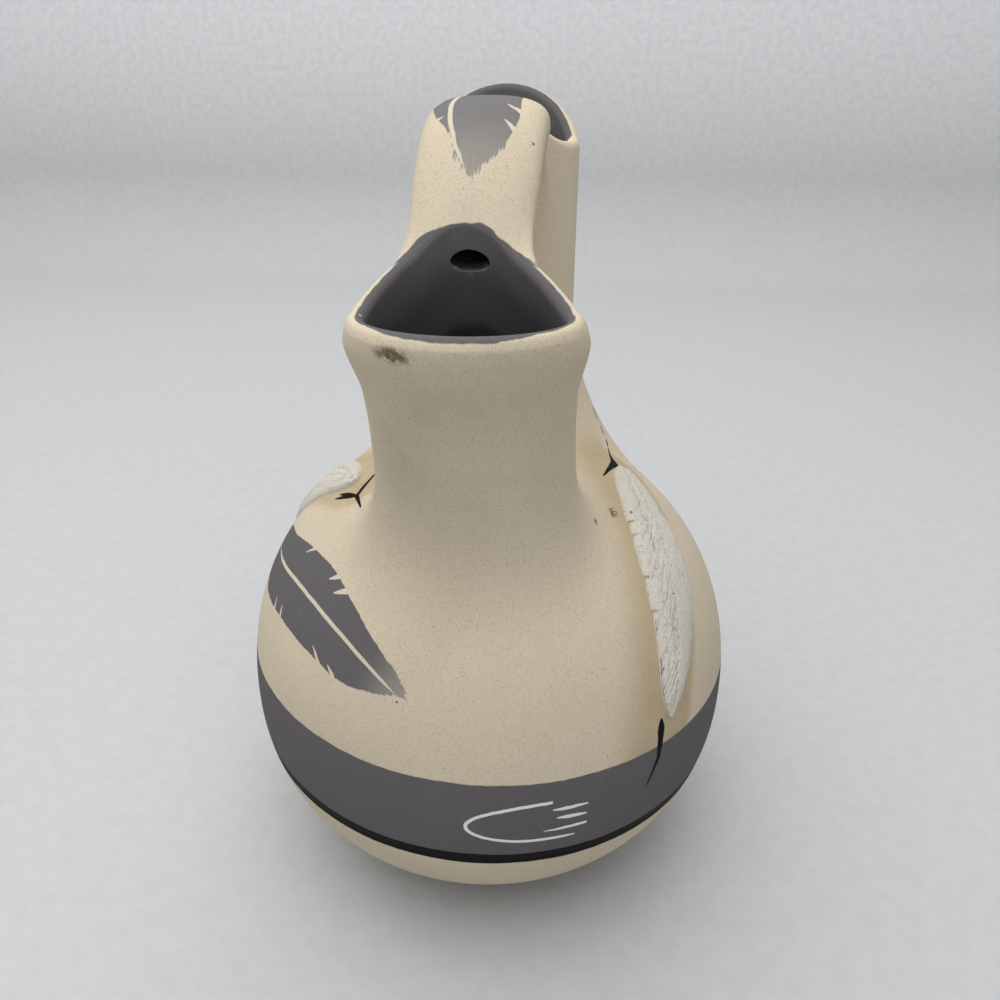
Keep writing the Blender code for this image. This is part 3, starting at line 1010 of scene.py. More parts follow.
@dataclass(frozen=True)
class Arc:
    """Half of an oval line, open to the right, in mm."""

    middle: tuple[float, float]
    half_length: float
    half_height: float
    width: float

    def share(self, shade: Shade, place: bpy.types.NodeSocket) -> Value:
        """Where the line lies, for the socket that holds the two plane coordinates."""
        sizes = (1.0 / self.half_length, 1.0 / self.half_height, 0.0)
        offset = shade.vector("SUBTRACT", place, (*self.middle, 0.0))
        scaled = shade.vector("MULTIPLY", offset, sizes)
        reach = shade.scalar("LENGTH", scaled)
        slope = shade.scalar("LENGTH", shade.vector("MULTIPLY", scaled, sizes))
        gap = abs(reach - 1.0) * reach / slope
        ahead = shade.scalar("DOT_PRODUCT", offset, (1.0, 0.0, 0.0))
        return (self.width / 2.0 - gap).edge() * (1.0 - ahead.step(0.0, 0.2))


@dataclass(frozen=True)
class Marks:
    """A group of strokes on a plane that touches the vase."""

    centre: tuple[float, float, float]
    right: tuple[float, float, float]
    up: tuple[float, float, float]
    reach: float
    slip: Slip
    strokes: tuple[Union[Stroke, Arc], ...]

    def lay(self, coat: Coat) -> None:
        """Paint the strokes."""
        shade = coat.shade
        offset = shade.vector("SUBTRACT", coat.place, self.centre)
        u = shade.scalar("DOT_PRODUCT", offset, self.right) + coat.wander(2.2, 0.22, 31.0)
        v = shade.scalar("DOT_PRODUCT", offset, self.up) + coat.wander(2.2, 0.22, 37.0)
        place = shade.joined(u, v)
        total = None
        for stroke in self.strokes:
            share = stroke.share(shade, place)
            total = share if total is None else total.most(share)
        far = shade.scalar("LENGTH", offset)
        coat.cover(total * (1.0 - far.step(self.reach, self.reach + 1.0)), self.slip)


@dataclass(frozen=True)
class Plume:
    """A painted feather; layers hold places along and across its quill, in mm, and what lies too far."""

    key: str
    length: float
    upper: tuple[tuple[float, float], ...]
    lower: tuple[tuple[float, float], ...]
    widest: float
    quill: tuple[tuple[float, float], ...]
    quill_shift: tuple[tuple[float, float], ...]
    nicks: tuple[Stroke, ...]
    tip: float
    ragged: float
    fade: float
    slip: Slip
    quill_width: float = 1.5
    quill_swing: float = 12.0

    def lay(self, coat: Coat) -> None:
        """Paint the vanes, leave the quill and the nicks bare and fray the tip."""
        along, across = coat.number(self.key + "_along"), coat.number(self.key + "_across")
        near = 1.0 - coat.number(self.key + "_far").step(0.45, 0.55)
        share = along / self.length
        upward = across.edge(0.01)
        half = (share.curve(self.upper) * upward + share.curve(self.lower) * (1.0 - upward)) * self.widest
        comb = coat.shade.joined(along * 0.10, across * 1.9)
        streak = coat.noise(1.0, 3.0, 41.0, comb)
        edge = half - abs(across) + coat.wander(1.6, 0.30, 43.0)
        fray = share.step(self.tip, 1.0)
        vane = (edge - fray * (streak - 0.34) * self.ragged).edge(0.15)
        vane = vane * near * share.step(0.0, 0.004) * (1.0 - share.step(0.996, 1.004))
        middle = share.curve(self.quill_shift) * (2.0 * self.quill_swing) - self.quill_swing
        rib = share.curve(self.quill) * self.quill_width
        bare = (rib - abs(across - middle + coat.wander(5.0, 0.25, 47.0))).edge()
        place = coat.shade.joined(along, across + coat.wander(2.0, 0.25, 49.0))
        for nick in self.nicks:
            bare = bare.most(nick.share(coat.shade, place))
        worn = 1.0 - fray * (0.25 + streak * 0.55) - share.step(self.fade, 1.0) * 0.18
        coat.cover(vane * (1.0 - bare * 0.96), self.slip)
        coat.rub(vane * (1.0 - worn) * (1.0 - bare) * 0.50, Slip.BARE)
        coat.rub(vane * bare * 0.55, Slip.BARE)


@dataclass(frozen=True)
class MouthSlip:
    """Slip inside a mouth, rubbed darker deeper in as painted shade; its layer holds the distance past the
    paint's edge in mm, plus a lift.
    """

    lift: float = 20.0
    # depth given to the bore and the pour hole, where the painted shade is darkest
    deep: float = 30.0

    def lay(self, coat: Coat) -> None:
        """Paint the mouth, with painted shade growing darker deeper inside."""
        waver = coat.wander(7.0, 0.7, 51.0), coat.wander(1.4, 0.25, 53.0)
        depth = coat.number("mouth") - self.lift + waver[0] + waver[1]
        chips = coat.specks(spacing=5.5, size=0.45, share=0.16, shift=61.0) * (1.0 - depth.step(2.5, 4.5))
        coat.cover(depth.edge(0.2) * (1.0 - chips), Slip.CHARCOAL)
        # painted shade: black rubbed in more the deeper a place lies in the mouth
        coat.rub(depth.step(4.0, 16.0) * 0.45 + depth.step(24.0, 28.0) * 0.35, Slip.BLACK)


MOUTH = MouthSlip()


@dataclass(frozen=True)
class SmudgeAndShade:
    """A rubbed, patchy stain round a point, in mm; a broad faint one also serves as painted shade."""

    centre: tuple[float, float, float]
    reach: tuple[float, float, float]
    slip: Slip
    strength: float
    patch: float = 1.6

    def lay(self, coat: Coat) -> None:
        """Rub the mark in."""
        parts = [(axis - middle) / size for axis, middle, size in
                 zip((coat.x, coat.y, coat.z), self.centre, self.reach)]
        far = (parts[0] * parts[0] + parts[1] * parts[1] + parts[2] * parts[2]).root()
        patchy = coat.noise(self.patch, detail=4.0, shift=71.0).step(0.36, 0.56)
        coat.rub((1.0 - far.step(0.35, 1.0)) * patchy * self.strength, self.slip)


@dataclass(frozen=True)
class Halo:
    """A soft ochre stain round the raised feathers."""

    strength: float = 0.70

    def lay(self, coat: Coat) -> None:
        """Rub the halo in."""
        patchy = coat.noise(size=7.0, detail=3.0, shift=81.0) * 0.8 + 0.5
        coat.rub(coat.number("halo") * patchy * self.strength, Slip.OCHRE)


# --------------------------------------------------------------------------------------------- pieces


class Piece:
    """One finished piece of the vase: built, dressed and hung on the frame."""

    def __init__(self, node: str, marks: Sequence[object] = (), slot: str = "cream_clay",
                 body: Body = CREAM) -> None:
        """Name the piece after the CAD node that it stands for.

        Args:
            node: Name of the CAD node.
            marks: Paint that falls on it, the lowest coat first.
            slot: Name of a material slot; not used.
            body: Its clay.
        """
        self.node = node
        self.marks = marks
        self.slot = slot
        self.body = body

    def build(self) -> bpy.types.Object:
        """Make the shape."""
        raise NotImplementedError

    def dress(self) -> bpy.types.Material:
        """Lay the piece's marks on its clay.

        Returns:
            The finished material.
        """
        coat = Coat(self.node + "_clay", self.body)
        for mark in self.marks:
            mark.lay(coat)
        return coat.close()

    def make(self) -> bpy.types.Object:
        """Build and dress the piece, and put it in its CAD node's place.

        Returns:
            The piece.
        """
        item = self.build()
        item.data.materials.clear()
        item.data.materials.append(self.dress())
        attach(item, "root")
        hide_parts(self.node)
        LOG.info("%s: %d points", item.name, len(item.data.vertices))
        return item


class Turned(Piece):
    """One turned part of the pot, from a closed profile of (radius, level) points."""

    columns = 288
    looped = True

    def profile(self) -> list[tuple[float, float]]:
        """Closed half profile of the part."""
        raise NotImplementedError

    def build(self) -> bpy.types.Object:
        """Turn the profile."""
        skin = Skin(self.node + "_skin")
        turns = full_turn(self.columns)
        for radius, level in self.profile():
            skin.add([Vector((radius * math.cos(t), radius * math.sin(t), level)) for t in turns])
        return skin.mesh(looped=self.looped)


class BaseDisc(Turned):
    """Flat bottom of the pot with a softened edge."""

    looped = False
    edge_rows = 10
    flat_rows = 8
    edge_inset = POT.wall * 0.2

    def profile(self) -> list[tuple[float, float]]:
        """From the middle of the underside round the edge to the middle of the top."""
        top, steps = POT.base_thickness, range(1, self.flat_rows)
        levels = [top * i / self.edge_rows for i in range(self.edge_rows + 1)]
        flat, over = POT.radius_at(0.0), POT.radius_at(top, -self.edge_inset)
        under = [(flat * i / self.flat_rows, 0.0) for i in steps]
        edge = [(POT.radius_at(level), level) for level in levels]
        return under + edge + [(over * (1.0 - i / self.flat_rows), top) for i in steps]


class LowerBowl(Turned):
    """Wall from the base up to the widest ring."""

    rows = 44

    def profile(self) -> list[tuple[float, float]]:
        """Up the outside and down the inside."""
        first = math.asin((POT.base_thickness - POT.widest) / POT.lower_depth)
        turns = [first * (1.0 - i / self.rows) for i in range(self.rows + 1)]
        levels = [POT.widest + POT.lower_depth * math.sin(turn) for turn in turns]
        outside = [(POT.radius_at(level), level) for level in levels]
        inside = [(POT.radius_at(level, -POT.wall), level) for level in reversed(levels[::2])]
        return outside + inside


class Dome(Turned):
    """A part of the pot above its widest ring, with feathers painted and laid on it."""

    end_row = 0.04
    plume_reach = 40.0

    def __init__(self, node: str, marks: Sequence[object], plumes: Sequence[Quill],
                 feathers: Sequence[Quill]) -> None:
        """Choose what lies on the dome.

        Args:
            node: Name of the CAD node.
            marks: Paint that falls on it.
            plumes: Quills of the painted feathers.
            feathers: Quills of the raised feathers, which have a halo.
        """
        super().__init__(node, marks)
        self.plumes = plumes
        self.feathers = feathers

    def arc(self, start: float, end: float, grow: float, count: int) -> list[tuple[float, float]]:
        """Points of the profile between two levels, with a narrow row at each end."""
        rise, radius, sharp = POT.upper_rise + grow, POT.radius + grow, 2.0 / POT.fullness
        first, last = (math.asin(min(1.0, ((level - POT.widest) / rise) ** (1.0 / sharp)))
                       for level in (start, end))
        points = []
        for share in (0.0, self.end_row, *range(1, count), count - self.end_row, count):
            turn = first + (last - first) * share / count
            level = POT.widest + rise * math.sin(turn) ** sharp
            points.append((radius * max(math.cos(turn), 0.0) ** sharp, level))
        return points

    def build(self) -> bpy.types.Object:
        """Turn the part and keep the places of what is painted on it."""
        item = self.shape()
        number_layers(item, self.layers)
        return item

    def shape(self) -> bpy.types.Object:
        """Turn the part."""
        return super().build()

    def layers(self, points: Points, _: Points) -> dict[str, Points]:
        """Halo, and places along, across and away from the nearest painted feather."""
        tapes = [quill.tape() for quill in self.plumes]
        gaps = np.array([tape.near(points) for tape in tapes])
        along, across = np.zeros(len(points)), np.zeros(len(points))
        for i, tape in enumerate(tapes):
            mine = gaps.argmin(axis=0) == i
            along[mine], across[mine], _ = tape.measure(points[mine])
        return {"halo": halo(points, self.feathers), "plume_along": along, "plume_across": across,
                "plume_far": gaps.min(axis=0) / self.plume_reach}


class UpperShoulder(Dome):
    """Wall from the widest ring up to the seam under the crown."""

    outer_rows = 40
    inner_rows = 14

    def profile(self) -> list[tuple[float, float]]:
        """Up the outside and down the inside."""
        outside = self.arc(POT.widest, POT.seam, 0.0, self.outer_rows)
        inside = self.arc(POT.widest, POT.seam, -POT.wall, self.inner_rows)
        return outside + list(reversed(inside))


class CrownDome(Dome):
    """Dome above the seam, with a hole under each spout."""

    looped = False
    outer_rows = 60
    inner_rows = 22
    near_top = 0.9999
    bore_sides = 64
    bore_spare = 0.2 * MM
    bore_levels = (90.0 * MM, 150.0 * MM)

    def profile(self) -> list[tuple[float, float]]:
        """From the top down the outside, and up the inside."""
        top = POT.widest + POT.upper_rise * self.near_top
        inner_top = POT.widest + (POT.upper_rise - POT.wall) * self.near_top
        outside = self.arc(POT.seam, top, 0.0, self.outer_rows)
        return list(reversed(outside)) + self.arc(POT.seam, inner_top, -POT.wall, self.inner_rows)

    def shape(self) -> bpy.types.Object:
        """Turn the dome and cut its holes."""
        item = super().shape()
        tools = []
        for spout in (FRONT, BACK):
            tool = Skin(spout.name + "_bore")
            plan = [spout.bore(turn, self.bore_spare) for turn in full_turn(self.bore_sides)]
            for level in self.bore_levels:
                tool.add([Vector((*point, level)) for point in plan])
            tools.append(tool.mesh(looped=False))
        cut(item, tools)
        return item


HALO_START, HALO_FRONT, HALO_FAR = 8.5, 13.0, 4.0


def halo(points: Points, feathers: Sequence[Quill]) -> Points:
    """How near places lie to a raised feather, mostly on its front side.

    Args:
        points: The places.
        feathers: Lines of the raised feathers.

    Returns:
        1 beside a feather, falling to 0 away from it.
    """
    total = np.zeros(len(points))
    for quill in feathers:
        tape = quill.tape(24)
        _, across, _ = tape.measure(points)
        width = np.where(across < 0.0, HALO_FRONT, HALO_FAR)
        share = np.clip((tape.near(points) - HALO_START) / width, 0.0, 1.0)
        total = np.maximum(total, 1.0 - share * share * (3.0 - 2.0 * share))
    return total


class SpoutPiece(Piece):
    """One spout: foot, neck, rounded rim and bore."""

    sides = 192
    foot_rows = 33
    foot_crowding = 1.25
    neck_rows = 30
    rim_rows = 8
    bore_rows = 6
    rim_sharp = 60.0
    tunnel_reach = 4.9
    tunnel_span = (-28.6, -24.0)
    funnel_reach = 9.0
    funnel_span = (-35.0, -27.3)
    funnel_bow = 0.04
    funnel_depth = 7.0

    def __init__(self, spout: Spout, edge: Callable[[float], float], marks: Sequence[object],
                 feathers: Sequence[Quill], tools: Sequence[Callable[[], bpy.types.Object]] = ()) -> None:
        """Choose the spout.

        Args:
            spout: Its sizes.
            edge: Distance of the paint's edge past the crest of the rim, in mm, for the sine of an angle.
            marks: Paint that falls on it.
            feathers: Quills of the raised feathers, which have a halo.
            tools: What is cut out of it.
        """
        super().__init__(spout.name, (MOUTH, *marks))
        self.spout = spout
        self.edge = edge
        self.feathers = feathers
        self.tools = tools

    def build(self) -> bpy.types.Object:
        """Skin the spout from its foot over the rim and down its bore."""
        spout, turns, dry = self.spout, full_turn(self.sides), [0.0] * self.sides
        edges = [self.edge(math.sin(a)) for a in turns]
        skin = Skin(spout.name + "_skin")
        for i in range(self.foot_rows):
            share = (i / self.foot_rows) ** self.foot_crowding
            skin.add([spout.fillet(a, share) for a in turns], mouth=dry)
        for i in range(self.neck_rows):
            skin.add([spout.neck(a, i / self.neck_rows, 0.0) for a in turns], mouth=dry)
        quarter = spout.wall / 2.0 * math.pi / 2.0
        for i in range(2 * self.rim_rows + 1):
            run = quarter * (i / self.rim_rows - 1.0)
            skin.add([spout.skin(a, run) for a in turns],
                     mouth=[max(run / MM - edge + MOUTH.lift, 0.0) for edge in edges])
        # down the inner neck the mouth layer grows with depth, so the painted shade darkens downward
        for i in range(1, self.neck_rows + 1):
            row = [spout.neck(a, 1.0 - i / self.neck_rows, spout.wall) for a in turns]
            depth = [(point - spout.neck(a, 1.0, spout.wall)).length for point, a in zip(row, turns)]
            skin.add(row, mouth=[(d + quarter) / MM - edge + MOUTH.lift for d, edge in zip(depth, edges)])
        # the bore gets the darkest painted shade
        for i in range(1, self.bore_rows + 1):
            skin.add([self.bore_point(a, i / self.bore_rows) for a in turns],
                     mouth=[MOUTH.lift + MOUTH.deep] * self.sides)
        item = skin.mesh(looped=True, sharp=self.rim_sharp)
        if self.tools:
            cut(item, [tool() for tool in self.tools])
            self.paint_hole(item)
        number_layers(item, lambda points, _: {"halo": halo(points, self.feathers)})
        return item

    def bore_point(self, angle: float, share: float) -> Vector:
        """Point of the bore between the waist, at share 0, and the middle of the pot's wall, at share 1."""
        top, low = self.spout.waist(angle, self.spout.wall), Vector((*self.spout.bore(angle), 0.0))
        low.z = POT.level_at(math.hypot(low.x, low.y)) - POT.wall * 0.5
        return top.lerp(low, share)

    def paint_hole(self, item: bpy.types.Object) -> None:
        """Carry the mouth's paint into the pour hole, and darken the hole fully and its funnel a little as
        painted shade.
        """
        layer = item.data.attributes["mouth"]
        spots = np.array([vertex.co for vertex in item.data.vertices], np.float32)
        x, y = spots[:, 0] / MM, spots[:, 1] / MM
        near = POUR_HOLE.near(spots)
        tunnel = (near < self.tunnel_reach) & (y > self.tunnel_span[0]) & (y < self.tunnel_span[1])
        bow = self.funnel_span[1] - self.funnel_bow * x * x
        funnel = (near < self.funnel_reach) & (y > self.funnel_span[0]) & (y < bow)
        for index in np.flatnonzero(tunnel | funnel):
            # painted shade: full in the tunnel, faint in the funnel round it
            least = MOUTH.lift + (MOUTH.deep if tunnel[index] else self.funnel_depth)
            layer.data[int(index)].value = max(layer.data[int(index)].value, least)


@dataclass(frozen=True)
class PourHole:
    """Oval hole in the front mouth's back wall, which turns up into the strap and widens to the mouth."""

    start: tuple[float, float, float] = (-1.2 * MM, -50.0 * MM, 191.5 * MM)
    control: tuple[float, float, float] = (-1.2 * MM, -20.0 * MM, 193.5 * MM)
    end: tuple[float, float, float] = (-1.2 * MM, -16.5 * MM, 209.0 * MM)
    half_width: float = 4.25 * MM
    half_height: float = 2.1 * MM
    funnel: float = 0.12
    funnel_span: tuple[float, float] = (0.42, 0.56)
    inner_start: float = -30.0 * MM
    sides: int = 48
    rows: int = 40
    probes: int = 80

    def frame(self, share: float) -> tuple[Vector, Vector, Vector]:
        """Point, sideways direction and upward direction at a place along the hole."""
        start, control, end = Vector(self.start), Vector(self.control), Vector(self.end)
        axis = ((control - start) * (1.0 - share) + (end - control) * share).normalized()
        side = Vector((1.0, 0.0, 0.0))
        return bend(start, control, end, share), side, side.cross(axis)

    def tool(self) -> bpy.types.Object:
        """Make the tool that cuts the hole."""
        skin = Skin("pour_hole")
        for i in range(self.rows + 1):
            middle, side, up = self.frame(i / self.rows)
            wide = self.wide(i / self.rows)
            row = []
            for turn in full_turn(self.sides):
                spoke = side * math.cos(turn) * self.half_width + up * math.sin(turn) * self.half_height
                row.append(middle + spoke * wide)
            skin.add(row)
        return skin.mesh(looped=False)

    def wide(self, share: float) -> float:
        """How much wider than its inner end the hole is at a place along it."""
        return 1.0 + self.funnel * (1.0 - smooth_step(share, *self.funnel_span))

    def lines(self, points: Points) -> Points:
        """Which places lie on the hole's own wall or its blind end."""
        slack = 0.03
        shares = [i / self.probes for i in range(self.probes + 1)]
        frames = zip(*(self.frame(share) for share in shares))
        middles, sides, ups = (np.array(row, np.float32) for row in frames)
        best = ((points[:, None, :] - middles[None, :, :]) ** 2).sum(axis=2).argmin(axis=1)
        offset = points - middles[best]
        wide = np.array([self.wide(share) for share in shares])[best]
        across = (offset * sides[best]).sum(axis=1) / (self.half_width * wide)
        upward = (offset * ups[best]).sum(axis=1) / (self.half_height * wide)
        reach = np.hypot(across, upward)
        lining = (np.abs(reach - 1.0) < slack) | ((best == self.probes) & (reach < 1.0 + slack))
        return lining & (points[:, 1] > self.inner_start)

    def near(self, points: Points) -> Points:
        """Distance of places from the hole's line inside the wall, in mm."""
        first, step, count = 0.35, 0.02, 20
        return Tape([self.frame(first + step * i) for i in range(count)]).near(points)


POUR_HOLE = PourHole()


class StrapPiece(Piece):
    """The strap, which flares onto the front rim and onto the back spout's neck."""

    sides = 120
    front_rows = 29
    middle_rows = 48
    back_rows = 25
    front_heart = (-1.5 * MM, -27.3 * MM, 193.0 * MM)
    back_heart = (0.0, 32.0 * MM, 208.0 * MM)
    heart_share = 0.97
    paint_edge = ((-20.0, 194.0), (-16.0, 198.0), (-13.0, 201.0), (-10.0, 202.5), (-5.5, 204.0), (1.5, 204.0),
                  (4.0, 203.0), (5.5, 201.5), (10.0, 198.5), (14.5, 196.0), (20.0, 191.5))
    paint_front, paint_bow, paint_spare = -21.0, 0.012, 3.0
    paint_eye = (0.0, -50.0 * MM, 215.0 * MM)
    paint_turn = 8.0
    paint_back = -16.0
    crest_drop, crest_fade = 1.0, 6.0

    def __init__(self, marks: Sequence[object]) -> None:
        """Choose the strap's paint.

        Args:
            marks: Paint that falls on it.
        """
        super().__init__("strap_handle", (MOUTH, *marks))

    def flare(self, spout: Spout, root: Root, angle: float, share: float) -> Vector:
        """Point of a flare between its print on a wall, at share 0, and the strap, at share 1."""
        turn = -math.pi / 2.0 + root.half_turn * math.cos(angle)
        run = root.run_at(angle)
        foot = spout.skin(turn, run)
        normal = spout.skin_normal(turn, run)
        top = STRAP.ring_point(root.share_at(angle), angle)
        reach = (top - foot).length
        away = top - foot
        away -= normal * away.dot(normal)
        into = STRAP.direction(root.share_at(angle)) * (-1.0 if spout.side < 0 else 1.0)
        leave, arrive = foot + away.normalized() * reach * root.ease, top + into * reach * root.ease
        return bend_between(foot, leave, arrive, top, share)

    def build(self) -> bpy.types.Object:
        """Skin the strap from one print to the other."""
        turns = full_turn(self.sides)
        rows: Rings = []
        for i in range(self.front_rows):
            rows.append([self.flare(FRONT, STRAP.front, a, i / self.front_rows) for a in turns])
        for i in range(self.middle_rows + 1):
            rest = 1.0 - i / self.middle_rows
            shares = [STRAP.front.share_at(a) * rest + STRAP.back.share_at(a) * i / self.middle_rows
                      for a in turns]
            rows.append([STRAP.ring_point(share, a) for share, a in zip(shares, turns)])
        for i in range(self.back_rows - 1, -1, -1):
            rows.append([self.flare(BACK, STRAP.back, a, i / self.back_rows) for a in turns])
        skin = Skin("strap_handle_skin")
        skin.add([point.lerp(Vector(self.front_heart), self.heart_share) for point in rows[0]])
        for row in rows:
            skin.add(row)
        skin.add([point.lerp(Vector(self.back_heart), self.heart_share) for point in rows[-1]])
        item = skin.mesh(looped=False)
        cut(item, [POUR_HOLE.tool()])
        number_layers(item, self.layers)
        return item

    def layers(self, points: Points, normals: Points) -> dict[str, Points]:
        """Distance past the edge of the mouth's paint, lifted and raised to the darkest painted shade on the
        pour hole's lining, and places on the painted feather.
        """
        x, y, z = points[:, 0] / MM, points[:, 1] / MM, points[:, 2] / MM
        edge = np.interp(x, *zip(*self.paint_edge))
        front_face = self.paint_front - self.paint_bow * x ** 2 - y
        along, across, above = STRAP.tape().measure(points)
        toward = np.array(self.paint_eye, np.float32) - points
        facing = (toward * normals).sum(axis=1) / np.linalg.norm(toward, axis=1)
        past = np.minimum(np.minimum(edge - z, front_face + self.paint_spare), self.paint_turn * facing)
        depth = np.where(y > self.paint_back, 0.0, np.maximum(MOUTH.lift + past, 0.0))
        # the pour hole's lining gets the darkest painted shade
        return {"mouth": np.where(POUR_HOLE.lines(points), MOUTH.lift + MOUTH.deep, depth),
                "crest_along": along, "crest_across": across,
                "crest_far": np.clip(0.5 - (above + self.crest_drop) / self.crest_fade, 0.0, 1.0)}


class Tree:
    """A Geometry Nodes tree under construction."""

    def __init__(self, name: str) -> None:
        """Start a tree that gives out geometry.

        Args:
            name: Name of the tree.
        """
        self.group = bpy.data.node_groups.new(name, "GeometryNodeTree")
        self.group.interface.new_socket("Geometry", in_out="OUTPUT", socket_type="NodeSocketGeometry")
        self.keys: dict[str, str] = {}
        self.inlet = self.group.nodes.new("NodeGroupInput")
        self.outlet = self.group.nodes.new("NodeGroupOutput")

    def entry(self, name: str, kind: str) -> bpy.types.NodeSocket:
        """Add a named input and return the socket that carries it."""
        made = self.group.interface.new_socket(name, in_out="INPUT", socket_type=kind)
        self.keys[name] = made.identifier
        return next(socket for socket in self.inlet.outputs if socket.identifier == made.identifier)

    def node(self, kind: str, settings: Mapping[str, object] | None = None,
             inputs: Mapping[Union[str, int], object] | None = None) -> bpy.types.Node:
        """Add one node with its settings and inputs."""
        made = self.group.nodes.new(kind)
        for key, setting in (settings or {}).items():
            setattr(made, key, setting)
        for key, content in (inputs or {}).items():
            if isinstance(content, bpy.types.NodeSocket):
                self.group.links.new(content, made.inputs[key])
            else:
                made.inputs[key].default_value = content
        return made

    def math(self, operation: str, *inputs: object) -> bpy.types.NodeSocket:
        """Add one Math node and return its result."""
        return self.node("ShaderNodeMath", {"operation": operation}, dict(enumerate(inputs))).outputs[0]

    def close(self, geometry: bpy.types.NodeSocket) -> None:
        """Send the geometry out."""
        self.group.links.new(geometry, self.outlet.inputs[0])


@dataclass(frozen=True)
class FeatherSize:
    """Sizes of a raised feather, in metres."""

    half_width: float = 10.2 * MM
    thickness: float = 2.0 * MM
    edge: float = 0.9 * MM
    sunk: float = 0.6 * MM
    front_edge: tuple[tuple[float, float], ...] = (
        (0.0, 0.10), (0.04, 0.34), (0.10, 0.50), (0.20, 0.72), (0.36, 0.94), (0.50, 1.0), (0.60, 0.96),
        (0.70, 0.85), (0.80, 0.68), (0.90, 0.52), (0.96, 0.34), (1.0, 0.06))
    far_edge: tuple[tuple[float, float], ...] = (
        (0.0, 0.10), (0.04, 0.34), (0.10, 0.48), (0.20, 0.63), (0.33, 0.80), (0.44, 1.0), (0.55, 1.14),
        (0.66, 1.15), (0.78, 0.95), (0.88, 0.66), (0.95, 0.36), (1.0, 0.05))
    tip: float = 0.94
    front_nicks: tuple[float, ...] = (0.40, 0.46, 0.615, 0.72)
    far_nicks: tuple[float, ...] = (0.30, 0.755)
    nick_depth: float = 0.13
    nick_length: float = 0.018
    nick_start: float = 0.004
    quill_shift: float = 0.42
    groove_depth: float = 0.55 * MM
    groove_width: float = 0.5 * MM
    barbs: int = 40
    barb_first: float = 0.03
    barb_span: float = 0.90
    barb_reach: float = 1.75
    barb_limit: float = 0.97
    barb_sweep: float = math.radians(24.0)
    seed: int = 7


class BarbTree:
    """Geometry Nodes that set low ridges along a straight quill, on both sides."""

    barb_width = 1.3 * MM
    barb_height = 0.34 * MM
    jitter = 0.10

    def __init__(self) -> None:
        """Build the tree."""
        tree = Tree("feather_barbs")
        length = tree.entry("Length", "NodeSocketFloat")
        count = tree.entry("Count", "NodeSocketInt")
        reach = tree.entry("Reach", "NodeSocketFloat")
        sweep = tree.entry("Sweep", "NodeSocketFloat")
        seed = tree.entry("Seed", "NodeSocketInt")
        material = tree.entry("Material", "NodeSocketMaterial")
        last = tree.math("SUBTRACT", count, 1.0)
        step = tree.math("DIVIDE", length, last)
        offset = tree.node("ShaderNodeCombineXYZ", None, {0: step}).outputs[0]
        line = tree.node("GeometryNodeMeshLine", None, {"Count": count, "Offset": offset}).outputs[0]
        index = tree.node("GeometryNodeInputIndex").outputs[0]
        share = tree.math("DIVIDE", index, last)
        swell = tree.math("POWER", tree.math("SINE", tree.math("MULTIPLY", share, math.pi * 0.92)), 0.6)
        ball = tree.node("GeometryNodeMeshUVSphere", None,
                         {"Segments": 8, "Rings": 6, "Radius": 0.5}).outputs[0]
        barb = tree.node("GeometryNodeTransform", None,
                         {"Geometry": ball, "Translation": (0.5, 0.0, 0.0)}).outputs[0]
        sides = []
        for side in (1.0, -1.0):
            draw = {2: -self.jitter, 3: self.jitter, "ID": index, "Seed": tree.math("ADD", seed, side)}
            jitter = tree.node("FunctionNodeRandomValue", {"data_type": "FLOAT"}, draw).outputs[1]
            turn = tree.math("MULTIPLY", tree.math("ADD", sweep, jitter), side)
            rotation = tree.node("ShaderNodeCombineXYZ", None, {2: turn}).outputs[0]
            size = tree.math("MULTIPLY", tree.math("MULTIPLY", reach, swell), tree.math("ADD", jitter, 1.0))
            sizes = {0: size, 1: self.barb_width, 2: self.barb_height}
            scale = tree.node("ShaderNodeCombineXYZ", None, sizes).outputs[0]
            places = {"Points": line, "Instance": barb, "Rotation": rotation, "Scale": scale}
            sides.append(tree.node("GeometryNodeInstanceOnPoints", None, places).outputs[0])
        joined = tree.node("GeometryNodeJoinGeometry")
        for placed in sides:
            tree.group.links.new(placed, joined.inputs[0])
        real = tree.node("GeometryNodeRealizeInstances", None, {0: joined.outputs[0]}).outputs[0]
        dressed = tree.node("GeometryNodeSetMaterial", None, {"Geometry": real, "Material": material})
        tree.close(dressed.outputs[0])
        self.tree = tree

    def grow(self, item: bpy.types.Object, numbers: Mapping[str, object]) -> None:
        """Put the ridges into a piece's mesh.

        Args:
            item: Piece whose mesh the ridges become.
            numbers: What goes into the tree's named inputs.
        """
        modifier = item.modifiers.new("barbs", "NODES")
        modifier.node_group = self.tree.group
        for name, content in numbers.items():
            modifier[self.tree.keys[name]] = content
        settle(item)


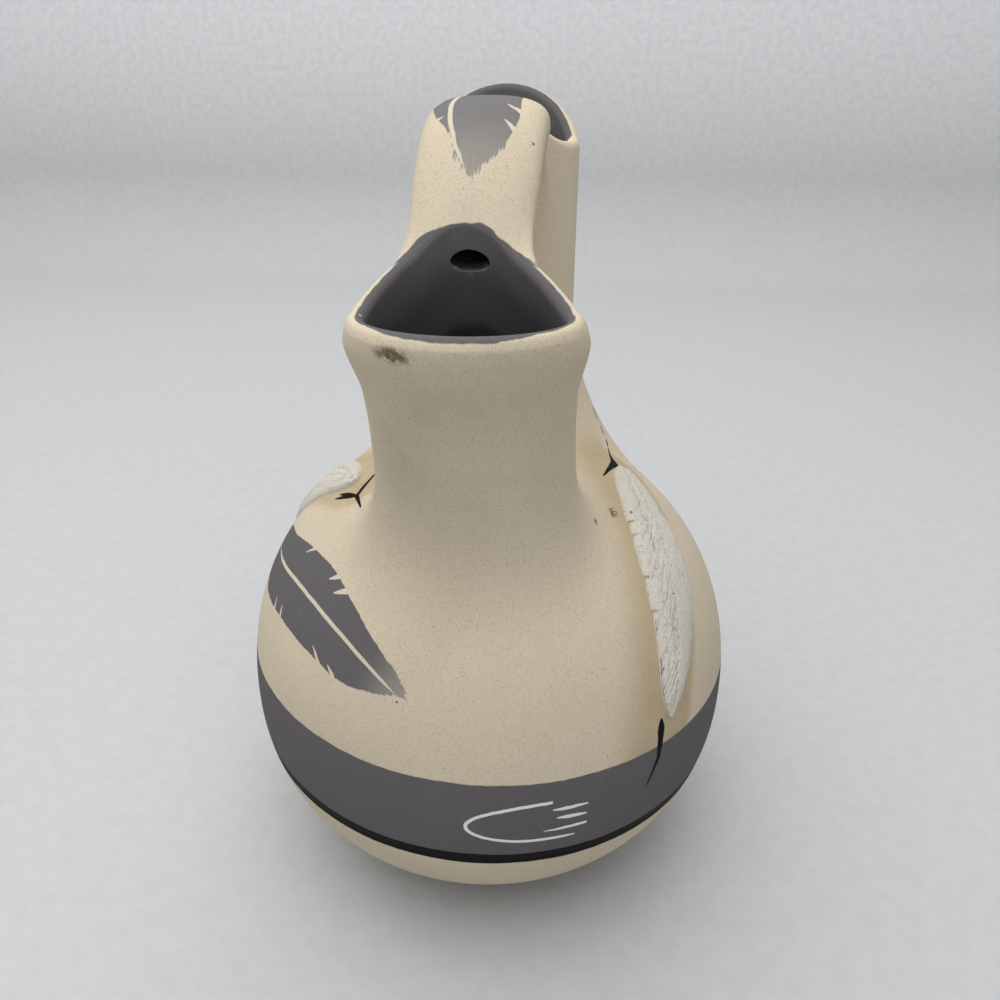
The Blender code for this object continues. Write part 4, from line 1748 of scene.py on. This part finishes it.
class RaisedFeather(Piece):
    """A feather of white clay on the dome, with a groove for its quill, low barbs and a nicked edge."""

    rows = 260
    columns = 48

    def __init__(self, node: str, quill: Quill, size: FeatherSize, barbs: BarbTree,
                 marks: Sequence[object]) -> None:
        """Choose the feather.

        Args:
            node: Name of the CAD node.
            quill: Its line on the dome.
            size: Its sizes.
            barbs: Tree that makes its barbs.
            marks: Paint that falls on it.
        """
        super().__init__(node, marks, "white_clay", WHITE)
        self.quill = quill
        self.size = size
        self.barbs = barbs
        self.material: bpy.types.Material | None = None

    def half_width(self, share: float, side: float) -> float:
        """Width of the feather on one side of its line at a place along it, with its nicks."""
        size = self.size
        stops, nicks = size.front_edge, size.front_nicks
        if side > 0.0:
            stops, nicks = size.far_edge, size.far_nicks
        swell = float(np.interp(share, *zip(*stops)))
        for place in nicks:
            gap = share - place
            if gap >= 0.0:
                fall = math.exp(-gap / size.nick_length) * smooth_step(gap, 0.0, size.nick_start)
                swell *= 1.0 - size.nick_depth * fall
        return size.half_width * swell

    def height(self, share: float, across: float) -> float:
        """Height of the upper face above the dome; across runs from -1 to 1."""
        ends = smooth_step(share, 0.0, 0.05) * (1.0 - smooth_step(share, 0.93, 1.0))
        size = self.size
        crown = (1.0 - abs(across) ** 3.2) * (size.thickness - size.edge) * (0.35 + 0.65 * ends)
        middle = -size.quill_shift * math.sin(math.pi * min(1.0, 0.08 + 0.92 * share))
        aside = (across - middle) * size.half_width / size.groove_width
        groove = size.groove_depth * math.exp(-aside ** 2) * ends
        return size.edge * (1.0 - abs(across) ** 10) + crown - groove

    def build(self) -> bpy.types.Object:
        """Loft the leaf, grow its barbs and lay both on the dome."""
        leaf = Skin(self.node + "_skin")
        count = self.columns
        for i in range(self.rows + 1):
            share = i / self.rows
            here, side, _ = self.quill.frame(share * self.size.tip)
            left, right = self.half_width(share, 1.0), self.half_width(share, -1.0)
            top, under = [], []
            for j in range(count + 1):
                across = 2.0 * j / count - 1.0
                width = left if across > 0.0 else right
                foot = POT.onto(here + side * across * width)
                out = POT.normal(foot)
                top.append(foot + out * self.height(share, across))
                under.append(foot - out * self.size.sunk)
            leaf.add(top + list(reversed(under)))
        item = leaf.mesh(looped=False)
        self.add_barbs(item)
        return item

    def add_barbs(self, item: bpy.types.Object) -> None:
        """Grow the barbs flat and lay them on the leaf."""
        size = self.size
        length = self.quill.tape().length * size.tip
        flat = link(self.node + "_barbs", bpy.data.meshes.new(self.node + "_barbs"))
        self.material = super().dress()
        self.barbs.grow(flat, {"Length": length * size.barb_span, "Count": size.barbs,
                               "Reach": size.half_width * size.barb_reach, "Sweep": size.barb_sweep,
                               "Seed": size.seed, "Material": self.material})
        work, laid = bmesh.new(), bmesh.new()
        work.from_mesh(item.data)
        laid.from_mesh(flat.data)
        for vertex in laid.verts:
            share = max(0.0, min(1.0, size.barb_first + vertex.co.x / length))
            here, side, _ = self.quill.frame(share * size.tip)
            width = self.half_width(share, math.copysign(1.0, vertex.co.y))
            across = max(-size.barb_limit, min(size.barb_limit, vertex.co.y / width))
            foot = POT.onto(here + side * across * width)
            vertex.co = foot + POT.normal(foot) * (self.height(share, across) + vertex.co.z)
        spare = bpy.data.meshes.new("laid")
        laid.to_mesh(spare)
        laid.free()
        work.from_mesh(spare)
        bmesh.ops.recalc_face_normals(work, faces=work.faces)
        work.to_mesh(item.data)
        work.free()
        item.data.shade_smooth()
        bpy.data.meshes.remove(spare)
        bpy.data.objects.remove(flat, do_unlink=True)

    def dress(self) -> bpy.types.Material:
        """The material that the barbs were grown with."""
        return self.material


# ------------------------------------------------------------------------------------------- studio


@dataclass(frozen=True)
class Lamp:
    """One soft area light."""

    name: str
    place: tuple[float, float, float]
    size: tuple[float, float]
    power: float
    colour: Colour


@dataclass(frozen=True)
class Studio:
    """Pale floor and wall in one sweep, soft lights and the photograph's camera."""

    front: float = -2.5
    wall: float = 0.80
    top: float = 2.5
    cove: float = 0.10
    cove_rows: int = 16
    half_width: float = 3.0
    floor_tone: Colour = (0.515, 0.525, 0.535)
    brightened_wall_tone: Colour = (0.76, 0.77, 0.79)
    fibre_tone: Colour = (0.40, 0.41, 0.42)
    lamps: tuple[Lamp, ...] = (
        Lamp("sky", (-0.18, -0.05, 1.30), (1.7, 1.7), 21.5, (1.0, 0.985, 0.96)),
        Lamp("front_fill", (0.2, -1.0, 0.95), (1.2, 0.9), 2.4, (1.0, 0.99, 0.98)),
    )
    aim: tuple[float, float, float] = (0.0, 0.0, 0.11)
    ambient: float = 0.34
    ambient_tone: Colour = (0.93, 0.96, 1.0)
    camera_place: tuple[float, float, float] = (0.0233, -0.2419, 0.245)
    camera_pitch: float = 27.87
    camera_heading: float = 4.69
    lens: float = 32.4
    sensor: float = 36.0
    nearest: float = 0.01

    def build(self) -> None:
        """Make the whole studio."""
        self.sweep()
        for lamp in self.lamps:
            self.light(lamp)
        world = bpy.data.worlds.new("soft_room")
        world.use_nodes = True
        background = world.node_tree.nodes["Background"]
        background.inputs["Color"].default_value = (*self.ambient_tone, 1.0)
        background.inputs["Strength"].default_value = self.ambient
        bpy.context.scene.world = world
        bpy.context.scene.view_settings.view_transform = "Standard"
        self.camera()

    def sweep(self) -> None:
        """Floor that turns up into the wall."""
        bend_start = self.wall - self.cove
        profile = [(self.front, 0.0), (bend_start, 0.0)]
        for i in range(1, self.cove_rows + 1):
            turn = math.pi / 2.0 * i / self.cove_rows
            profile.append((bend_start + self.cove * math.sin(turn), self.cove * (1.0 - math.cos(turn))))
        profile.append((self.wall, self.top))
        points = [(x, y, z) for y, z in profile for x in (-self.half_width, self.half_width)]
        faces = [(2 * i, 2 * i + 1, 2 * i + 3, 2 * i + 2) for i in range(len(profile) - 1)]
        shape = bpy.data.meshes.new("floor")
        shape.from_pydata(points, [], faces)
        shape.shade_smooth()
        item = link("floor", shape)
        shade = Shade("pale_paper")
        place = shade.node("ShaderNodeTexCoord").outputs["Object"]
        fibre = shade.value("ShaderNodeTexNoise", None, {"Vector": place, "Scale": 160.0, "Detail": 4.0})
        level = shade.value("ShaderNodeSeparateXYZ", None, {0: place}, 2)
        # painted light: the paper turns paler up the wall, making up for the lamps lighting the wall less
        # than the floor
        paper = shade.mix(level.step(0.0, 0.3), self.floor_tone, self.brightened_wall_tone)
        tone = shade.mix(fibre.step(0.35, 0.7) * 0.2, paper, self.fibre_tone)
        shade.feed(shade.surface.inputs["Base Color"], tone)
        shade.surface.inputs["Roughness"].default_value = 0.9
        shape.materials.append(shade.material)

    def light(self, lamp: Lamp) -> None:
        """Hang one lamp, turned to the vase."""
        data = bpy.data.lights.new(lamp.name, "AREA")
        data.shape = "RECTANGLE"
        data.size, data.size_y = lamp.size
        data.energy = lamp.power
        data.color = lamp.colour
        item = link(lamp.name, data)
        item.location = lamp.place
        aim = Vector(self.aim) - Vector(lamp.place)
        item.rotation_euler = aim.to_track_quat("-Z", "Y").to_euler()

    def camera(self) -> None:
        """Put the camera where the photograph was taken from."""
        data = bpy.data.cameras.new("camera")
        data.lens = self.lens
        data.sensor_width = self.sensor
        data.clip_start = self.nearest
        item = link("camera", data)
        item.location = self.camera_place
        item.rotation_euler = (math.radians(90.0 - self.camera_pitch), 0.0, math.radians(self.camera_heading))
        bpy.context.scene.camera = item


# ---------------------------------------------------------------------------------------- decoration


def tangent_marks(bearing: float, level: float, reach: float, strokes: Sequence[Stroke]) -> Marks:
    """Black strokes on the plane that touches the pot at a bearing in degrees and a level in mm.

    Args:
        bearing: Bearing of the plane's middle.
        level: Level of the plane's middle.
        reach: How far from the middle the strokes may lie, in mm.
        strokes: Strokes in mm, to the right and up.

    Returns:
        The marks.
    """
    centre = POT.at(math.radians(bearing), level * MM)
    normal = POT.normal(centre)
    right = Vector((math.cos(math.radians(bearing)), math.sin(math.radians(bearing)), 0.0))
    up = normal.cross(right)
    return Marks(tuple(centre / MM), tuple(right), tuple(up), reach, Slip.BLACK, tuple(strokes))


BAND = Stripe(46.0, 73.5, Slip.CHARCOAL)
LINE = Stripe(43.8, 48.3, Slip.BLACK, wobble=0.5, hold=1.15)
SIGN = Marks((15.0, -72.0, 59.0), (1.0, 0.0, 0.0), (0.0, 0.0, 1.0), 24.0, Slip.CHALK, (
    Arc((8.0, 0.4), 22.5, 6.6, 1.0),
    Stroke((8.0, -6.2), (14.1, -6.5), (0.9, 0.9, 0.4)),
    Stroke((8.5, 4.3), (17.2, 4.0), (0.5, 1.1, 0.5)),
    Stroke((9.6, 1.2), (17.0, 0.6), (0.5, 1.2, 0.5)),
    Stroke((6.0, -3.0), (16.9, -2.9), (0.2, 0.9, 0.8)),
))

RIGHT_TIE = tangent_marks(104.8, 125.9, 27.0, (
    Stroke((-1.1, 0.8), (8.2, 0.6), (2.6, 1.0, 0.5)),
    Stroke((9.6, 0.5), (12.9, 0.5), (0.4, 0.6, 0.2)),
    Stroke((14.4, 1.4), (17.4, 3.0), (0.3, 0.6, 0.2)),
    Stroke((19.0, 4.0), (21.7, 6.8), (0.3, 0.6, 0.2)),
    Stroke((-1.1, 0.8), (-13.3, 8.1), (2.6, 1.5, 0.4)),
    Stroke((-1.1, 0.8), (-9.4, 1.4), (2.6, 2.0, 2.0)),
    Stroke((-9.4, 1.4), (-13.8, -2.0), (2.0, 1.8, 0.5)),
))
LEFT_TIE = tangent_marks(-66.4, 125.5, 15.0, (
    Stroke((1.5, 0.0), (-5.2, 9.2), (1.5, 1.2, 0.5)),
    Stroke((1.5, 0.0), (-5.9, -4.4), (0.8, 1.7, 0.4)),
    Stroke((1.5, 0.0), (-5.5, -6.3), (0.8, 1.5, 0.4)),
    Stroke((1.5, 0.0), (8.5, -0.2), (1.5, 1.0, 0.6)),
))
QUILL_TIP = tangent_marks(46.0, 69.0, 16.0, (
    Stroke((-1.7, 10.0), (-2.3, 5.6), (1.2, 2.5, 2.4)),
    Stroke((-2.3, 5.6), (-3.3, -0.9), (2.4, 2.0, 1.5)),
    Stroke((-3.3, -0.9), (-7.8, -9.8), (1.5, 1.0, 0.3)),
))

LEFT_PLUME_QUILL = Quill(POT, (-96.0, 31.0), (-48.0, 47.0), (-12.0, 26.5))
BACK_PLUME_QUILL = Quill(POT, (100.0, 26.0), (140.0, 29.0), (176.0, 16.5))
RIGHT_QUILL = Quill(POT, (98.0, 60.9), (59.0, 54.5), (45.3, 9.1))
LEFT_QUILL = Quill(POT, (-75.0, 60.9), (-107.0, 54.5), (-118.2, 9.1))


DOME_PLUME = Plume(
    key="plume", length=97.0, widest=13.0, tip=0.84, ragged=5.0, fade=0.80, slip=Slip.CHARCOAL,
    upper=((0.0, 0.10), (0.12, 0.42), (0.30, 0.58), (0.38, 0.71), (0.52, 0.82), (0.61, 0.80), (0.67, 0.70),
           (0.76, 0.54), (0.87, 0.35), (0.92, 0.31), (0.967, 0.19), (1.0, 0.02)),
    lower=((0.0, 0.10), (0.10, 0.55), (0.22, 0.90), (0.30, 0.96), (0.44, 0.92), (0.63, 0.87), (0.72, 0.82),
           (0.79, 0.78), (0.87, 0.57), (0.94, 0.29), (1.0, 0.02)),
    quill=((0.0, 0.0), (0.18, 0.10), (0.30, 0.33), (0.80, 0.36), (0.92, 0.24), (0.97, 0.0)),
    quill_shift=((0.0, 0.45), (0.29, 0.44), (0.47, 0.495), (0.69, 0.505), (0.80, 0.487), (0.94, 0.455),
                 (1.0, 0.45)),
    nicks=(
        Stroke((44.7, 11.7), (40.2, 7.4), (1.5, 0.9, 0.2)),
        Stroke((59.9, 11.4), (56.6, 8.0), (1.7, 1.2, 0.3)),
        Stroke((64.9, 9.9), (61.1, 6.4), (1.7, 1.3, 0.3)),
        Stroke((38.8, -12.3), (37.3, -9.2), (1.0, 0.7, 0.2)),
        Stroke((44.6, -12.5), (43.0, -8.9), (1.2, 0.9, 0.2)),
        Stroke((69.3, -11.0), (64.5, -8.6), (1.1, 0.8, 0.2)),
        Stroke((75.5, -10.3), (72.3, -9.2), (1.2, 0.9, 0.3)),
    ))

STRAP_PLUME = Plume(
    key="crest", length=51.0, widest=14.0, tip=0.60, ragged=9.0, fade=0.10, slip=Slip.SMOKE,
    upper=((0.0, 0.35), (0.12, 0.80), (0.30, 0.97), (0.46, 0.985), (0.63, 0.81), (0.745, 0.53), (0.89, 0.35),
           (0.98, 0.06), (1.0, 0.0)),
    lower=((0.0, 0.35), (0.12, 0.55), (0.30, 0.62), (0.48, 0.62), (0.625, 0.645), (0.72, 0.58), (0.83, 0.46),
           (0.88, 0.28), (0.94, 0.12), (0.98, 0.0), (1.0, 0.0)),
    quill=((0.0, 0.20), (0.40, 0.36), (0.85, 0.34), (0.92, 0.0), (1.0, 0.0)),
    quill_shift=((0.0, 0.80), (0.40, 0.82), (0.55, 0.85), (0.71, 0.787), (0.82, 0.704), (0.894, 0.62),
                 (1.0, 0.56)),
    nicks=(
        Stroke((29.5, -9.3), (26.8, -5.6), (1.4, 0.9, 0.2)),
        Stroke((36.0, -8.8), (33.0, -5.7), (1.5, 1.0, 0.2)),
        Stroke((24.0, 14.2), (21.5, 11.0), (1.3, 0.9, 0.2)),
        Stroke((33.2, 11.6), (31.8, 9.8), (1.2, 0.8, 0.2)),
    ))


def front_edge(along: float) -> float:
    """Paint's edge past the crest of the front rim, in mm, by the sine of the angle."""
    return 0.2 - 2.15 * max(along, 0.0) ** 2.2


def back_edge(along: float) -> float:
    """Paint's edge past the crest of the back rim, in mm, by the sine of the angle."""
    return 0.2 + 4.0 * smooth_step(-along, -0.15, 0.15)


def main() -> None:
    """Build the vase and its studio."""
    barbs = BarbTree()
    size = FeatherSize()
    plumes = (LEFT_PLUME_QUILL, BACK_PLUME_QUILL)
    feathers = (RIGHT_QUILL, LEFT_QUILL)
    scuff = SmudgeAndShade((36.4, -20.0, 124.7), (2.6, 2.6, 2.0), Slip.DIRT_AND_SHADE, 0.9, 0.8)
    front_marks = (Halo(), LEFT_TIE, SmudgeAndShade((-12.6, -69.5, 185.8), (6.5, 5.0, 2.8), Slip.DIRT_AND_SHADE, 0.9),
                   SmudgeAndShade((32.2, -29.1, 127.0), (1.7, 1.7, 1.4), Slip.DIRT_AND_SHADE, 1.0, 0.9),
                   # painted shade: a broad faint darkening of the front neck under the overhanging lip, in
                   # the dirt colour
                   SmudgeAndShade((0.0, -62.0, 155.0), (48.0, 30.0, 40.0), Slip.DIRT_AND_SHADE, 0.15, 45.0))
    pieces = (
        BaseDisc("base_disc"),
        LowerBowl("lower_bowl", (BAND, LINE, SIGN, QUILL_TIP)),
        UpperShoulder("upper_shoulder", (Halo(), BAND, SIGN, DOME_PLUME, QUILL_TIP), plumes, feathers),
        CrownDome("crown_dome", (Halo(), DOME_PLUME, RIGHT_TIE, LEFT_TIE, scuff), plumes, feathers),
        SpoutPiece(FRONT, front_edge, front_marks, feathers, (POUR_HOLE.tool,)),
        SpoutPiece(BACK, back_edge, (Halo(), RIGHT_TIE), feathers),
        StrapPiece((STRAP_PLUME,)),
        RaisedFeather("raised_feather_right", RIGHT_QUILL, size, barbs, (QUILL_TIP,)),
        RaisedFeather("raised_feather_left", LEFT_QUILL, size, barbs, (LEFT_TIE,)),
    )
    for piece in pieces:
        piece.make()
    Studio().build()


if __name__ == "__main__":
    main()
